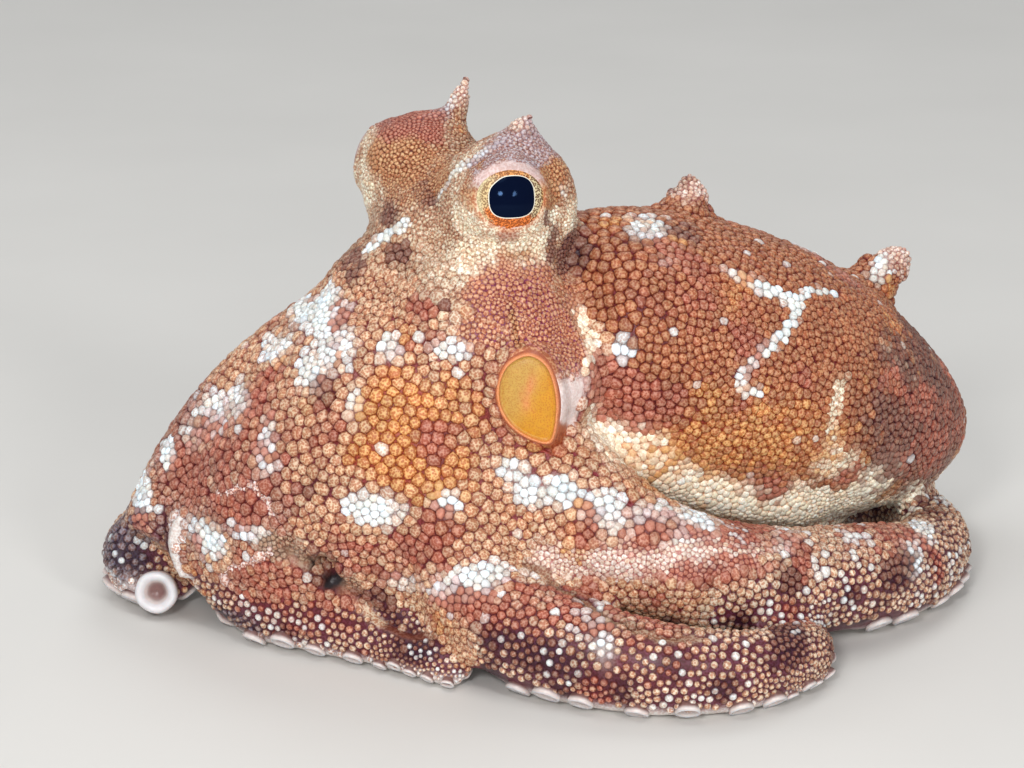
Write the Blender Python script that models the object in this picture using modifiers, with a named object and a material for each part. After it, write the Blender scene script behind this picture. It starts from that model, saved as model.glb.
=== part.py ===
"""A common octopus at rest on its arms, life size, as a still display model.

The animal looks towards -X -Y. Its left side is turned to -Y, its mantle trails towards +X +Y,
and its eight arms lie folded round the web on the plane z = 0. The tables below are in
millimetres, and at the end the whole animal is moved so that its middle stands over the origin.
"""

import math

import bmesh
import bpy
import numpy as np
from mathutils import Matrix, Vector

MM = 0.001
OBJECT = "octopus"
GAP = 0.3  # room left between two neighbouring solids

# Head: two eye turrets on a low skull, which runs back into the mantle as the nape
TURRETS = {"left": (-3.0, -6.5, 56.6, 9.4), "right": (-14.6, 8.5, 56.6, 8.8)}
GAZES = {"left": (0.18, -0.94, 0.27), "right": (-0.75, 0.62, 0.2)}
EYE_RADIUS = 5.6
EYE_OPENING = 8.0  # width of the eyeball's cap that stands clear of its turret
EYE_SHIFTS = {"left": (-1.3, 0.0, 0.45), "right": (0.0, 0.0, 0.0)}  # off the gaze's line
SKULL = dict(centre=(-8.0, 1.0, 49.0), radii=(13.5, 13.0, 12.5), yaw=-42)
NAPE = dict(centre=(1.0, 3.0, 41.0), radii=(13.0, 13.0, 12.0), yaw=28)
CHEEK = dict(centre=(-6.0, -9.5, 38.5), radii=(13.5, 13.0, 15.0), yaw=-20)
BROW = dict(centre=(-14.0, -1.0, 42.5), radii=(14.0, 12.5, 9.5), yaw=-42)
NECK_CUT = dict(point=(-10.0, -5.0, 43.0), normal=(0.39, 0.22, 0.89))  # the head is above it

# Mantle: sections across its axis, from the open end to the tip:
# x, y, z, half width, half height, yaw of the section
MANTLE = [
    (2.0, -4.6, 37.4, 14.6, 15.6, 29),
    (7.0, -1.8, 36.4, 18.4, 18.8, 29),
    (16.0, 4.2, 32.8, 21.0, 21.6, 29),
    (28.0, 11.5, 28.5, 22.5, 21.9, 29),
    (39.0, 18.0, 25.1, 21.0, 19.5, 29),
    (49.0, 24.0, 20.9, 15.6, 14.1, 29),
    (56.0, 28.0, 18.0, 8.8, 7.8, 29),
    (59.2, 30.0, 16.6, 3.0, 3.0, 29),
]

# Funnel: sections from the floor of its mouth, over the rim and back into the mantle
FUNNEL = [
    (-0.9, -21.6, 35.3, 1.2, 2.6, 80),
    (-0.8, -22.2, 35.3, 2.9, 5.0, 80),
    (-0.7, -23.4, 35.4, 3.3, 5.6, 80),
    (-0.1, -22.6, 35.4, 3.9, 6.2, 75),
    (2.2, -19.2, 35.8, 4.3, 6.4, 60),
    (6.6, -12.5, 36.5, 4.6, 6.4, 50),
    (11.0, -6.5, 37.0, 4.6, 6.2, 50),
]

# Papillae: base, tip, base radius, tip radius
HEAD_PAPILLAE = [
    ((-1.8, -6.0, 64.0), (-0.2, -5.6, 68.8), 2.6, 0.7),
    ((-10.5, 9.0, 62.8), (-8.0, 9.8, 70.6), 2.8, 0.7),
]
MANTLE_PAPILLAE = [
    ((20.5, 11.0, 51.0), (20.9, 12.0, 56.0), 2.8, 1.1),
    ((43.5, 21.0, 36.5), (51.4, 23.5, 42.6), 4.4, 1.1),
    ((31.0, 32.0, 27.0), (30.5, 38.5, 32.5), 3.8, 1.1),
]

# Web: level sections of its bell: z, then how far it reaches from WEB_CENTRE to -X, +X, -Y and +Y
WEB_CENTRE = (-14.0, -1.0)
WEB = [
    (1.2, 33.0, 26.0, 20.0, 22.0),
    (8.0, 36.0, 30.0, 23.5, 25.5),
    (18.0, 34.5, 31.0, 26.0, 26.0),
    (28.0, 29.0, 26.5, 26.0, 22.5),
    (38.0, 20.5, 20.0, 21.5, 17.5),
    (46.0, 12.0, 14.0, 15.0, 12.0),
]

# Arms: x, y, z and radius along each, from the crown to the tip. The first three points lie in
# the web; the arm's own nodes begin at the fourth. A point no higher than its radius lies on the
# floor, pressed flat there.
IN_WEB = 3
PRESSED = 0.88  # height of a lying arm's middle, of its radius
ARMS = {
    "left_1": [
        (-20.0, -8.0, 33.0, 8.0),
        (-31.0, -8.0, 22.0, 8.2),
        (-37.0, -6.0, 13.0, 7.4),
        (-37.5, -7.5, 7.4, 6.8),
        (-34.0, -11.5, 6.0, 6.2),
        (-28.0, -15.5, 5.3, 5.6),
        (-21.0, -19.8, 4.6, 4.8),
        (-15.5, -23.8, 3.8, 4.0),
        (-11.5, -27.5, 2.7, 2.9),
        (-9.0, -30.5, 1.6, 1.6),
    ],
    "left_2": [
        (-14.0, -15.0, 32.0, 8.0),
        (-10.5, -20.0, 20.0, 8.2),
        (-7.0, -23.5, 12.0, 8.0),
        (-2.0, -29.0, 8.0, 7.6),
        (8.0, -34.5, 6.6, 6.8),
        (18.0, -37.5, 5.8, 6.0),
        (27.0, -35.0, 5.0, 5.2),
        (33.0, -29.0, 4.4, 4.6),
        (35.4, -24.0, 3.4, 3.6),
        (32.4, -21.0, 1.6, 1.6),
    ],
    "left_3": [
        (-2.0, -13.0, 28.0, 8.4),
        (5.0, -18.5, 20.0, 9.2),
        (13.0, -21.5, 15.0, 8.4),
        (22.0, -22.0, 12.0, 8.0),
        (32.0, -17.0, 9.4, 7.4),
        (42.0, -9.8, 7.6, 7.2),
        (50.0, -0.5, 6.0, 6.4),
        (54.0, 9.5, 5.4, 5.6),
        (54.0, 20.0, 4.8, 5.0),
        (49.0, 29.5, 4.2, 4.4),
        (41.0, 35.5, 3.6, 3.8),
        (32.0, 36.0, 3.0, 3.2),
        (26.0, 31.5, 2.4, 2.6),
        (28.0, 26.5, 1.7, 1.8),
        (32.5, 28.0, 1.0, 1.0),
    ],
    "left_4": [
        (-2.0, -2.0, 24.0, 8.0),
        (6.0, -3.0, 15.0, 7.4),
        (13.0, -3.0, 9.4, 6.8),
        (21.0, -3.5, 6.6, 6.2),
        (30.0, -0.5, 5.2, 5.2),
        (37.0, 5.5, 4.4, 4.5),
        (40.5, 13.0, 3.6, 3.7),
        (38.5, 20.0, 2.8, 2.9),
        (33.0, 21.5, 1.8, 1.9),
        (31.0, 17.5, 1.0, 1.0),
    ],
    "right_1": [
        (-23.0, 1.0, 37.0, 8.4),
        (-35.0, 2.0, 26.5, 9.0),
        (-43.0, 1.0, 16.5, 8.4),
        (-48.0, -1.4, 8.6, 7.6),
        (-51.2, 4.0, 6.2, 6.4),
        (-52.0, 12.5, 5.1, 5.3),
        (-50.5, 21.5, 4.5, 4.7),
        (-50.0, 30.5, 3.9, 4.1),
        (-52.0, 39.0, 3.3, 3.5),
        (-49.0, 46.5, 2.6, 2.8),
        (-43.0, 48.5, 1.8, 2.0),
        (-40.5, 52.5, 1.2, 1.2),
    ],
    "right_2": [
        (-24.0, 9.0, 32.0, 8.2),
        (-32.0, 15.0, 21.0, 8.0),
        (-36.5, 20.0, 12.0, 7.2),
        (-39.0, 26.5, 6.8, 6.4),
        (-40.0, 35.0, 5.2, 5.4),
        (-36.0, 42.5, 4.6, 4.8),
        (-28.5, 47.0, 4.1, 4.3),
        (-20.8, 45.0, 3.6, 3.8),
        (-18.0, 38.5, 3.1, 3.3),
        (-22.0, 33.2, 2.6, 2.8),
        (-28.0, 34.0, 2.1, 2.2),
        (-30.0, 38.5, 1.6, 1.7),
        (-26.5, 41.0, 1.0, 1.0),
    ],
    "right_3": [
        (-14.0, 12.0, 30.0, 8.0),
        (-12.0, 20.0, 19.0, 7.8),
        (-9.5, 26.0, 11.0, 7.0),
        (-6.0, 33.0, 6.6, 6.2),
        (-2.0, 42.0, 5.1, 5.3),
        (5.0, 50.0, 4.6, 4.8),
        (14.5, 53.0, 4.1, 4.3),
        (22.0, 48.5, 3.6, 3.8),
        (22.5, 41.0, 3.1, 3.3),
        (16.0, 37.0, 2.5, 2.7),
        (9.6, 39.0, 2.0, 2.2),
        (9.4, 44.0, 1.5, 1.6),
        (13.0, 46.0, 1.0, 1.0),
    ],
    "right_4": [
        (-6.0, 9.0, 24.0, 8.0),
        (0.5, 14.5, 15.0, 7.4),
        (6.5, 18.0, 9.0, 6.4),
        (13.5, 21.0, 6.0, 5.6),
        (21.5, 22.0, 4.6, 4.7),
        (27.5, 18.0, 3.7, 3.8),
        (28.0, 11.5, 2.8, 2.9),
        (22.5, 9.5, 1.9, 2.0),
        (19.5, 13.5, 1.0, 1.0),
    ],
}
ARM_LENGTHS = ("inner", "middle", "tip")
ARM_SIDES = 10
CUT_REACH = 1.3  # of the arm's radius, for the thin cuts across it
ARM_STEP = 4.4  # spacing of an arm's rings
ROOT_OVERLAP = 2.0  # how far the web's own flesh runs on past an arm's start, before it is cut

# Fineness of the blended flesh
BLEND_VOXEL = 1.0
FLESH_TRIANGLES = 2000
MANTLE_TRIANGLES = 800

COLOURS = {
    "skin_rust": ((0.42, 0.16, 0.07, 1), 0.45),
    "skin_maroon": ((0.30, 0.09, 0.06, 1), 0.45),
    "funnel_orange": ((0.72, 0.33, 0.08, 1), 0.4),
    "eye_gloss": ((0.02, 0.02, 0.03, 1), 0.08),
}


def collection_named(name):
    found = bpy.data.collections.new(name)
    bpy.context.scene.collection.children.link(found)
    return found


def material_named(name):
    colour, roughness = COLOURS[name]
    made = bpy.data.materials.new(name)
    made.use_nodes = True
    shader = made.node_tree.nodes["Principled BSDF"]
    shader.inputs["Base Color"].default_value = colour
    shader.inputs["Roughness"].default_value = roughness
    shader.inputs["Metallic"].default_value = 0.0
    return made


def object_from(mesh, name, collection):
    made = bpy.data.objects.new(name, mesh)
    collection.objects.link(made)
    return made


def evaluated_mesh(obj):
    graph = bpy.context.evaluated_depsgraph_get()
    return bpy.data.meshes.new_from_object(obj.evaluated_get(graph))


def bodies_of(work):
    """The separate bodies of a mesh, each as its list of vertices, smallest first."""
    bodies = []
    seen = set()
    for start in work.verts:
        if start in seen:
            continue
        seen.add(start)
        body = [start]
        for vert in body:
            for edge in vert.link_edges:
                other = edge.other_vert(vert)
                if other not in seen:
                    seen.add(other)
                    body.append(other)
        bodies.append(body)
    return sorted(bodies, key=len)


def settle(obj, bodies=1):
    """Turns the object's modifiers into its mesh, without the crumbs that a cut leaves beside it."""
    mesh = evaluated_mesh(obj)
    obj.modifiers.clear()
    obj.data = mesh
    work = bmesh.new()
    work.from_mesh(mesh)
    bmesh.ops.remove_doubles(work, verts=work.verts, dist=0.002 * MM)
    for crumb in bodies_of(work)[:-bodies]:
        bmesh.ops.delete(work, geom=crumb, context="VERTS")
    bmesh.ops.triangulate(work, faces=work.faces)
    work.to_mesh(mesh)
    work.free()
    return obj


def ball(name, centre, radii, collection, yaw=0.0, segments=24, rings=14):
    work = bmesh.new()
    turn = Matrix.Translation(Vector(centre) * MM) @ Matrix.Rotation(math.radians(yaw), 4, "Z")
    shape = turn @ Matrix.Diagonal((*(r * MM for r in radii), 1.0))
    bmesh.ops.create_uvsphere(work, u_segments=segments, v_segments=rings, radius=1.0, matrix=shape)
    mesh = bpy.data.meshes.new(name)
    work.to_mesh(mesh)
    work.free()
    return object_from(mesh, name, collection)


def cone(name, base, tip, base_radius, tip_radius, collection, sides=8):
    work = bmesh.new()
    start = Vector(base)
    along = Vector(tip) - start
    turn = along.to_track_quat("Z", "Y").to_matrix().to_4x4()
    place = Matrix.Translation((start + along / 2) * MM) @ turn
    bmesh.ops.create_cone(
        work,
        cap_ends=True,
        segments=sides,
        radius1=base_radius * MM,
        radius2=tip_radius * MM,
        depth=along.length * MM,
        matrix=place,
    )
    mesh = bpy.data.meshes.new(name)
    work.to_mesh(mesh)
    work.free()
    return object_from(mesh, name, collection)


def block(name, low, high, collection):
    work = bmesh.new()
    size = [(b - a) * MM for a, b in zip(low, high)]
    middle = [(a + b) / 2 * MM for a, b in zip(low, high)]
    place = Matrix.Translation(middle) @ Matrix.Diagonal((*size, 1.0))
    bmesh.ops.create_cube(work, size=1.0, matrix=place)
    mesh = bpy.data.meshes.new(name)
    work.to_mesh(mesh)
    work.free()
    return object_from(mesh, name, collection)


def smooth_route(points, step):
    """A Catmull-Rom curve through the points, read every `step` along its length."""
    known = np.array(points, float)
    ends = np.vstack([2 * known[0] - known[1], known, 2 * known[-1] - known[-2]])
    fine = []
    for before, a, b, after in zip(ends, ends[1:], ends[2:], ends[3:]):
        for t in np.linspace(0, 1, 24, endpoint=False):
            fine.append(
                0.5
                * (
                    2 * a
                    + (b - before) * t
                    + (2 * before - 5 * a + 4 * b - after) * t**2
                    + (3 * a - before - 3 * b + after) * t**3
                )
            )
    fine = np.array(fine + [known[-1]])
    run = np.concatenate([[0], np.cumsum(np.linalg.norm(np.diff(fine[:, :3], axis=0), axis=1))])
    count = max(3, round(run[-1] / step) + 1)
    return np.column_stack([np.interp(np.linspace(0, run[-1], count), run, c) for c in fine.T])


def tube(name, route, collection, sides=12):
    """A tapered tube with closed ends along the route's x, y, z and radius."""
    curve = bpy.data.curves.new(name, "CURVE")
    curve.dimensions = "3D"
    curve.bevel_depth = MM
    curve.bevel_resolution = sides // 2 - 2
    curve.use_fill_caps = True
    curve.twist_mode = "Z_UP"
    spline = curve.splines.new("POLY")
    spline.points.add(len(route) - 1)
    for point, (x, y, z, radius) in zip(spline.points, route):
        point.co = (x * MM, y * MM, z * MM, 1.0)
        point.radius = radius
    drawn = object_from(curve, name + "_curve", collection)
    mesh = evaluated_mesh(drawn)
    bpy.data.objects.remove(drawn)
    work = bmesh.new()
    work.from_mesh(mesh)
    bmesh.ops.remove_doubles(work, verts=work.verts, dist=0.01 * MM)
    bmesh.ops.recalc_face_normals(work, faces=work.faces)
    work.to_mesh(mesh)
    work.free()
    return object_from(mesh, name, collection)


def ring_cage(name, rings, collection, levels):
    """A closed cage through rings of equal size, rounded by subdivision."""
    work = bmesh.new()
    loops = [[work.verts.new(Vector(p) * MM) for p in ring] for ring in rings]
    for low, high in zip(loops, loops[1:]):
        for i, _ in enumerate(low):
            j = (i + 1) % len(low)
            work.faces.new((low[i], low[j], high[j], high[i]))
    work.faces.new(reversed(loops[0]))
    work.faces.new(loops[-1])
    bmesh.ops.recalc_face_normals(work, faces=work.faces)
    mesh = bpy.data.meshes.new(name)
    work.to_mesh(mesh)
    work.free()
    made = object_from(mesh, name, collection)
    rounder = made.modifiers.new("round", "SUBSURF")
    rounder.levels = rounder.render_levels = levels
    return settle(made)


def blend(name, pieces, collection, triangles):
    """Melts overlapping pieces into one smooth body of about that many triangles."""
    work = bmesh.new()
    for piece in pieces:
        work.from_mesh(piece.data)
        bpy.data.objects.remove(piece)
    mesh = bpy.data.meshes.new(name)
    work.to_mesh(mesh)
    work.free()
    made = object_from(mesh, name, collection)
    melt = made.modifiers.new("melt", "REMESH")
    melt.mode = "VOXEL"
    melt.voxel_size = BLEND_VOXEL * MM
    ease = made.modifiers.new("ease", "SMOOTH")
    ease.factor = 0.5
    ease.iterations = 10
    settle(made)
    thin = made.modifiers.new("thin", "DECIMATE")
    thin.ratio = triangles / len(made.data.polygons)
    return settle(made)


def swollen(obj, by, collection):
    """A copy of the object, larger by that much all round, to cut with."""
    mesh = obj.data.copy()
    work = bmesh.new()
    work.from_mesh(mesh)
    work.normal_update()
    for vert in work.verts:
        vert.co += vert.normal * by * MM * min(vert.calc_shell_factor(), 2.0)
    work.to_mesh(mesh)
    work.free()
    cutter = object_from(mesh, obj.name + "_room", collection)
    cutter.hide_render = True
    cutter.display_type = "WIRE"
    return cutter


def boxes_meet(first, second):
    a = np.array([v.co for v in first.data.vertices])
    b = np.array([v.co for v in second.data.vertices])
    return bool((a.min(0) < b.max(0)).all() and (b.min(0) < a.max(0)).all())


def combine(obj, other, operation, bodies=1):
    step = obj.modifiers.new(operation.lower(), "BOOLEAN")
    step.operation = operation
    step.object = other
    settle(obj, bodies)
    bpy.data.objects.remove(other)


def make_room(obj, neighbours, cutters):
    """Cuts the object clear of neighbours that it would overlap."""
    for neighbour in neighbours:
        cutter = swollen(neighbour, GAP, cutters)
        if boxes_meet(obj, cutter):
            combine(obj, cutter, "DIFFERENCE")
        else:
            bpy.data.objects.remove(cutter)


def stand_on_floor(obj, cutters):
    """Cuts away what would sink below z = 0, which leaves the flats that the body rests on."""
    floor = block("floor", (-200, -200, -40), (200, 200, 0), cutters)
    if boxes_meet(obj, floor):
        combine(obj, floor, "DIFFERENCE")
    else:
        bpy.data.objects.remove(floor)


def build_eyes(parts):
    eyes = []
    for side, (x, y, z, radius) in TURRETS.items():
        reach = math.sqrt(radius**2 - (EYE_OPENING / 2) ** 2)
        depth = reach - math.sqrt(EYE_RADIUS**2 - (EYE_OPENING / 2) ** 2)
        centre = Vector((x, y, z)) + Vector(GAZES[side]).normalized() * depth
        centre += Vector(EYE_SHIFTS[side])
        eyes.append(ball("eye_" + side, centre, (EYE_RADIUS,) * 3, parts, segments=16, rings=10))
    return eyes


def section(x, y, z, half_width, half_height, yaw, corners):
    """An upright ellipse round a point, square to an axis that runs at that yaw."""
    across = Vector((math.sin(math.radians(yaw)), -math.cos(math.radians(yaw)), 0))
    ring = []
    for turn in np.linspace(0, 2 * math.pi, corners, endpoint=False):
        lift = Vector((0, 0, half_height * math.sin(turn)))
        ring.append(Vector((x, y, z)) + across * half_width * math.cos(turn) + lift)
    return ring


def bell_ring(z, left, right, front, back, corners):
    """A level oval round the web's centre, with its own reach to each side."""
    ring = []
    for turn in np.linspace(0, 2 * math.pi, corners, endpoint=False):
        across = math.cos(turn) * (right if math.cos(turn) > 0 else left)
        along = math.sin(turn) * (back if math.sin(turn) > 0 else front)
        ring.append((WEB_CENTRE[0] + across, WEB_CENTRE[1] + along, z))
    return ring


def build_funnel(parts):
    rings = [section(*row, corners=8) for row in FUNNEL]
    return ring_cage("funnel", rings, parts, 1)


def arm_routes(table):
    """The arm's smooth route, parted where it leaves the web."""
    points = [(x, y, min(z, r * PRESSED) if z <= r else z, r) for x, y, z, r in table]
    inside = smooth_route(points[: IN_WEB + 2], ARM_STEP)
    start = np.linalg.norm(inside[:, :3] - points[IN_WEB][:3], axis=1).argmin()
    whole = smooth_route(points, ARM_STEP)
    first = np.linalg.norm(whole[:, :3] - points[IN_WEB][:3], axis=1).argmin()
    return inside[: start + 1], whole[first:]


def part_across(arm, route, names, parts, cutters):
    """Parts an arm by thin cuts square to its route into lengths of about as many rings each."""
    cuts = np.linspace(0, len(route) - 1, len(names) + 1).round().astype(int)[1:-1]
    for number, cut in enumerate(cuts):
        along = Vector(route[cut + 1][:3] - route[cut - 1][:3]).normalized() * GAP / 2
        middle = Vector(route[cut][:3])
        reach = route[cut][3] * CUT_REACH
        saw = cone("saw", middle - along, middle + along, reach, reach, cutters, sides=24)
        combine(arm, saw, "DIFFERENCE", bodies=number + 2)
    work = bmesh.new()
    work.from_mesh(arm.data)
    work.verts.ensure_lookup_table()
    lengths = {}
    for body in bodies_of(work):
        places = np.array([vert.co for vert in body]) / MM
        away = np.linalg.norm(places[:, None] - route[None, :, :3], axis=2)
        lengths[away.argmin(axis=1).mean()] = {vert.index for vert in body}
    work.free()
    made = []
    for name, (_, kept) in zip(names, sorted(lengths.items())):
        mesh = arm.data.copy()
        work = bmesh.new()
        work.from_mesh(mesh)
        others = [vert for vert in work.verts if vert.index not in kept]
        bmesh.ops.delete(work, geom=others, context="VERTS")
        work.to_mesh(mesh)
        work.free()
        made.append(object_from(mesh, name, parts))
    bpy.data.objects.remove(arm)
    return made


def build_arms(parts, cutters):
    arms = []
    for name, points in ARMS.items():
        route = arm_routes(points)[1]
        arm = tube("arm_" + name, route, cutters, ARM_SIDES)
        make_room(arm, arms, cutters)
        stand_on_floor(arm, cutters)
        names = [f"arm_{name}_{length}" for length in ARM_LENGTHS]
        arms += part_across(arm, route, names, parts, cutters)
    return arms


def build_flesh(parts, cutters):
    """The head, and under it the crown of the arms with its web, melted together."""
    pieces = [ring_cage("bell", [bell_ring(*row, corners=12) for row in WEB], cutters, 2)]
    for arm, points in ARMS.items():
        route = arm_routes(points)[0]
        ahead = route[-1] - route[-2]
        on = route[-1] + ahead / np.linalg.norm(ahead[:3]) * ROOT_OVERLAP
        pieces.append(tube("root_" + arm, np.vstack([route, on]), cutters))
    for name, form in dict(skull=SKULL, nape=NAPE, cheek=CHEEK, brow=BROW).items():
        pieces.append(ball(name, form["centre"], form["radii"], cutters, form["yaw"]))
    for side, (x, y, z, radius) in TURRETS.items():
        pieces.append(ball("turret_" + side, (x, y, z), (radius,) * 3, cutters))
    for number, papilla in enumerate(HEAD_PAPILLAE):
        pieces.append(cone(f"papilla_{number}", *papilla, cutters))
    return blend("flesh", pieces, cutters, FLESH_TRIANGLES)


def build_mantle(parts, cutters):
    rings = [section(*row, corners=12) for row in MANTLE]
    pieces = [ring_cage("bag", rings, cutters, 2)]
    for number, papilla in enumerate(MANTLE_PAPILLAE):
        pieces.append(cone(f"papilla_{number}", *papilla, cutters))
    return blend("mantle", pieces, parts, MANTLE_TRIANGLES)


def half_space(point, normal, shift, cutters):
    """A large block on the far side of a plane, moved along the plane's normal by `shift`."""
    size = 300.0
    solid = block("half_space", (-size, -size, -size), (size, size, 0), cutters)
    facing = Vector(normal).normalized()
    turn = facing.to_track_quat("Z", "Y").to_matrix().to_4x4()
    place = Matrix.Translation((Vector(point) + facing * shift) * MM) @ turn
    solid.data.transform(place)
    return solid


def part_at_neck(flesh, parts, cutters):
    """Parts the flesh by one thin cut into the head and the crown with its web."""
    point = NECK_CUT["point"]
    normal = Vector(NECK_CUT["normal"])
    head = object_from(flesh.data.copy(), "head", parts)
    combine(head, half_space(point, normal, GAP / 2, cutters), "DIFFERENCE")
    crown = object_from(flesh.data.copy(), "web_and_crown", parts)
    combine(crown, half_space(point, -normal, GAP / 2, cutters), "DIFFERENCE")
    bpy.data.objects.remove(flesh)


def stand_at_origin(parts):
    """Moves the whole animal so that the middle of its outline stands over the origin."""
    corners = np.array([vert.co for obj in parts.objects for vert in obj.data.vertices])
    middle = (corners.min(axis=0) + corners.max(axis=0)) / 2
    for obj in parts.objects:
        obj.data.transform(Matrix.Translation((-middle[0], -middle[1], 0)))


def finish(obj):
    kind = "skin_rust"
    if obj.name.startswith("arm"):
        kind = "skin_maroon"
    if obj.name.startswith("eye"):
        kind = "eye_gloss"
    if obj.name == "funnel":
        kind = "funnel_orange"
    obj.data.shade_smooth()
    obj.data.materials.clear()
    obj.data.materials.append(bpy.data.materials.get(kind) or material_named(kind))


def main():
    for obj in list(bpy.data.objects):
        bpy.data.objects.remove(obj)
    parts = collection_named(OBJECT)
    cutters = collection_named("cutters")
    eyes = build_eyes(parts)
    funnel = build_funnel(parts)
    arms = build_arms(parts, cutters)
    flesh = build_flesh(parts, cutters)
    mantle = build_mantle(parts, cutters)
    make_room(mantle, [flesh, funnel] + arms, cutters)
    make_room(flesh, eyes + [funnel] + arms, cutters)
    stand_on_floor(flesh, cutters)
    part_at_neck(flesh, parts, cutters)
    stand_at_origin(parts)
    for obj in parts.objects:
        finish(obj)


main()
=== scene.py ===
import math
import bmesh
import bpy
import numpy as np
from mathutils import Matrix, Vector
from mathutils.bvhtree import BVHTree
from mathutils.kdtree import KDTree


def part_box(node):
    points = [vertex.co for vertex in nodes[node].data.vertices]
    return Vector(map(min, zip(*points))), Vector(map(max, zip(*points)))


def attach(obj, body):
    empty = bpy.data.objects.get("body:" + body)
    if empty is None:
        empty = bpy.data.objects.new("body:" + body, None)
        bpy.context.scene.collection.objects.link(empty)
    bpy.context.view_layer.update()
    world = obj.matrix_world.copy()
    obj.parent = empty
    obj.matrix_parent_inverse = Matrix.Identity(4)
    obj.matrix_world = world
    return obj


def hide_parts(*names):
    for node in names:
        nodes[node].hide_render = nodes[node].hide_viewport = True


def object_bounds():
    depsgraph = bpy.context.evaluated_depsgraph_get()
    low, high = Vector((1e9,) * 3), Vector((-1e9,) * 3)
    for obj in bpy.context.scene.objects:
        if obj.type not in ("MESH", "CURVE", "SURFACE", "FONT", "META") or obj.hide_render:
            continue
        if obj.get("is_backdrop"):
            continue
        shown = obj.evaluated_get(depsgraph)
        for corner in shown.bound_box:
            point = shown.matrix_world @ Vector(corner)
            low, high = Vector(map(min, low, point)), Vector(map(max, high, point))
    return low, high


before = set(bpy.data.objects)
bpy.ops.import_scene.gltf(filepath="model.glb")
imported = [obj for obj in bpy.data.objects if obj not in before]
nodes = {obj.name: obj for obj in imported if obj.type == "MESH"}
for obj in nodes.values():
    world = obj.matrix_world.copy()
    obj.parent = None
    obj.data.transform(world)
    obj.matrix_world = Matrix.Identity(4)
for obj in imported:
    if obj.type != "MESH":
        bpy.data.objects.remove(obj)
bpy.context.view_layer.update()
mm = 0.001  # every length below is in millimetres from the model's origin, in the middle under its box
fleshNodes = sorted(name for name in nodes if not name.startswith("eye_"))
print("frame loaded:", len(nodes), "nodes")


def middleOf(node):
    low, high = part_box(node)
    return np.array((low + high) / 2) / mm


def unit(vector):
    vector = np.asarray(vector, float)
    return vector / np.linalg.norm(vector, axis=-1, keepdims=True)


def ease(value, start, end):
    # 0 before start, 1 after end, smooth between; start may be the larger
    share = np.clip((value - start) / (end - start), 0, 1)
    return share * share * (3 - 2 * share)


def grain(points, size, seed):
    # smooth random field between -1 and 1, about as coarse as size
    place = points / size
    cell = np.floor(place).astype(np.int64)
    part = place - cell
    part = part * part * (3 - 2 * part)
    total = np.zeros(len(points))
    for corner in np.ndindex(2, 2, 2):
        at = cell + corner
        mixed = at[:, 0] * 73856093 ^ at[:, 1] * 19349663 ^ at[:, 2] * 83492791 ^ (seed + 1) * 668265263
        mixed = (mixed ^ (mixed >> 15)) * 2246822519
        mixed = (mixed ^ (mixed >> 13)) * 3266489917
        value = ((mixed ^ (mixed >> 16)) & 65535) / 32767.5 - 1
        total += value * np.prod(np.where(corner, part, 1 - part), axis=1)
    return total


def alongLine(points, line, reach=1e3):
    # distance of each point to a line of points, and how far along it is, from 0 to 1;
    # points further than reach from the line's box count as far away
    line = np.asarray(line, float)
    best = np.full(len(points), 1e9)
    share = np.zeros(len(points))
    boxed = (points > line.min(axis=0) - reach) & (points < line.max(axis=0) + reach)
    near = np.nonzero(boxed.all(axis=1))[0]
    close, nearest, part = points[near], best[near], share[near]
    lengths = np.linalg.norm(np.diff(line, axis=0), axis=1)
    before = np.concatenate([[0], np.cumsum(lengths)])
    for a, b, start, length in zip(line[:-1], line[1:], before, lengths):
        t = np.clip((close - a) @ (b - a) / length ** 2, 0, 1)
        away = np.linalg.norm(close - a - t[:, None] * (b - a), axis=1)
        nearer = away < nearest
        nearest[nearer] = away[nearer]
        part[nearer] = (start + t[nearer] * length) / before[-1]
    best[near], share[near] = nearest, part
    return best, share


def flowing(line, steps=8, closed=False):
    # a smooth curve through the points
    line = np.asarray(line, float)
    count = len(line)
    made = []
    for i in range(count if closed else count - 1):
        if closed:
            p = [line[(i + k - 1) % count] for k in range(4)]
        else:
            p = [line[min(max(i + k - 1, 0), count - 1)] for k in range(4)]
        square = 2 * p[0] - 5 * p[1] + 4 * p[2] - p[3]
        cube = 3 * p[1] - p[0] - 3 * p[2] + p[3]
        for t in np.arange(steps) / steps:
            made.append(0.5 * (2 * p[1] + (p[2] - p[0]) * t + square * t ** 2 + cube * t ** 3))
    if not closed:
        made.append(line[-1])
    return np.array(made)


def turnsRound(count):
    return np.linspace(0, 2 * math.pi, count, endpoint=False)


def waysRound(turn, across, up):
    # the direction at each angle round an axis
    return np.cos(turn)[:, None] * across + np.sin(turn)[:, None] * up


def readAll(items, field, width, kind=np.int32):
    found = np.empty(len(items) * width, kind)
    items.foreach_get(field, found)
    return found.reshape(-1, width)


def pointsOf(mesh):
    return readAll(mesh.vertices, "co", 3, np.float32).astype(float) / mm


def normalsOf(mesh):
    return readAll(mesh.vertex_normals, "vector", 3, np.float32).astype(float)


def cornersOf(mesh):
    return readAll(mesh.loops, "vertex_index", 1)[:, 0]


def setPoints(mesh, points):
    mesh.vertices.foreach_set("co", (points * mm).astype(np.float32).ravel())
    mesh.update()


def smoothed(mesh):
    mesh.polygons.foreach_set("use_smooth", np.ones(len(mesh.polygons), bool))
    mesh.update()


def inScene(name, data):
    made = bpy.data.objects.new(name, data)
    bpy.context.scene.collection.objects.link(made)
    return made


def chosen(first, *others):
    # selects these objects alone and makes the first one active
    bpy.ops.object.select_all(action="DESELECT")
    for obj in (first, *others):
        obj.select_set(True)
    bpy.context.view_layer.objects.active = first


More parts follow.
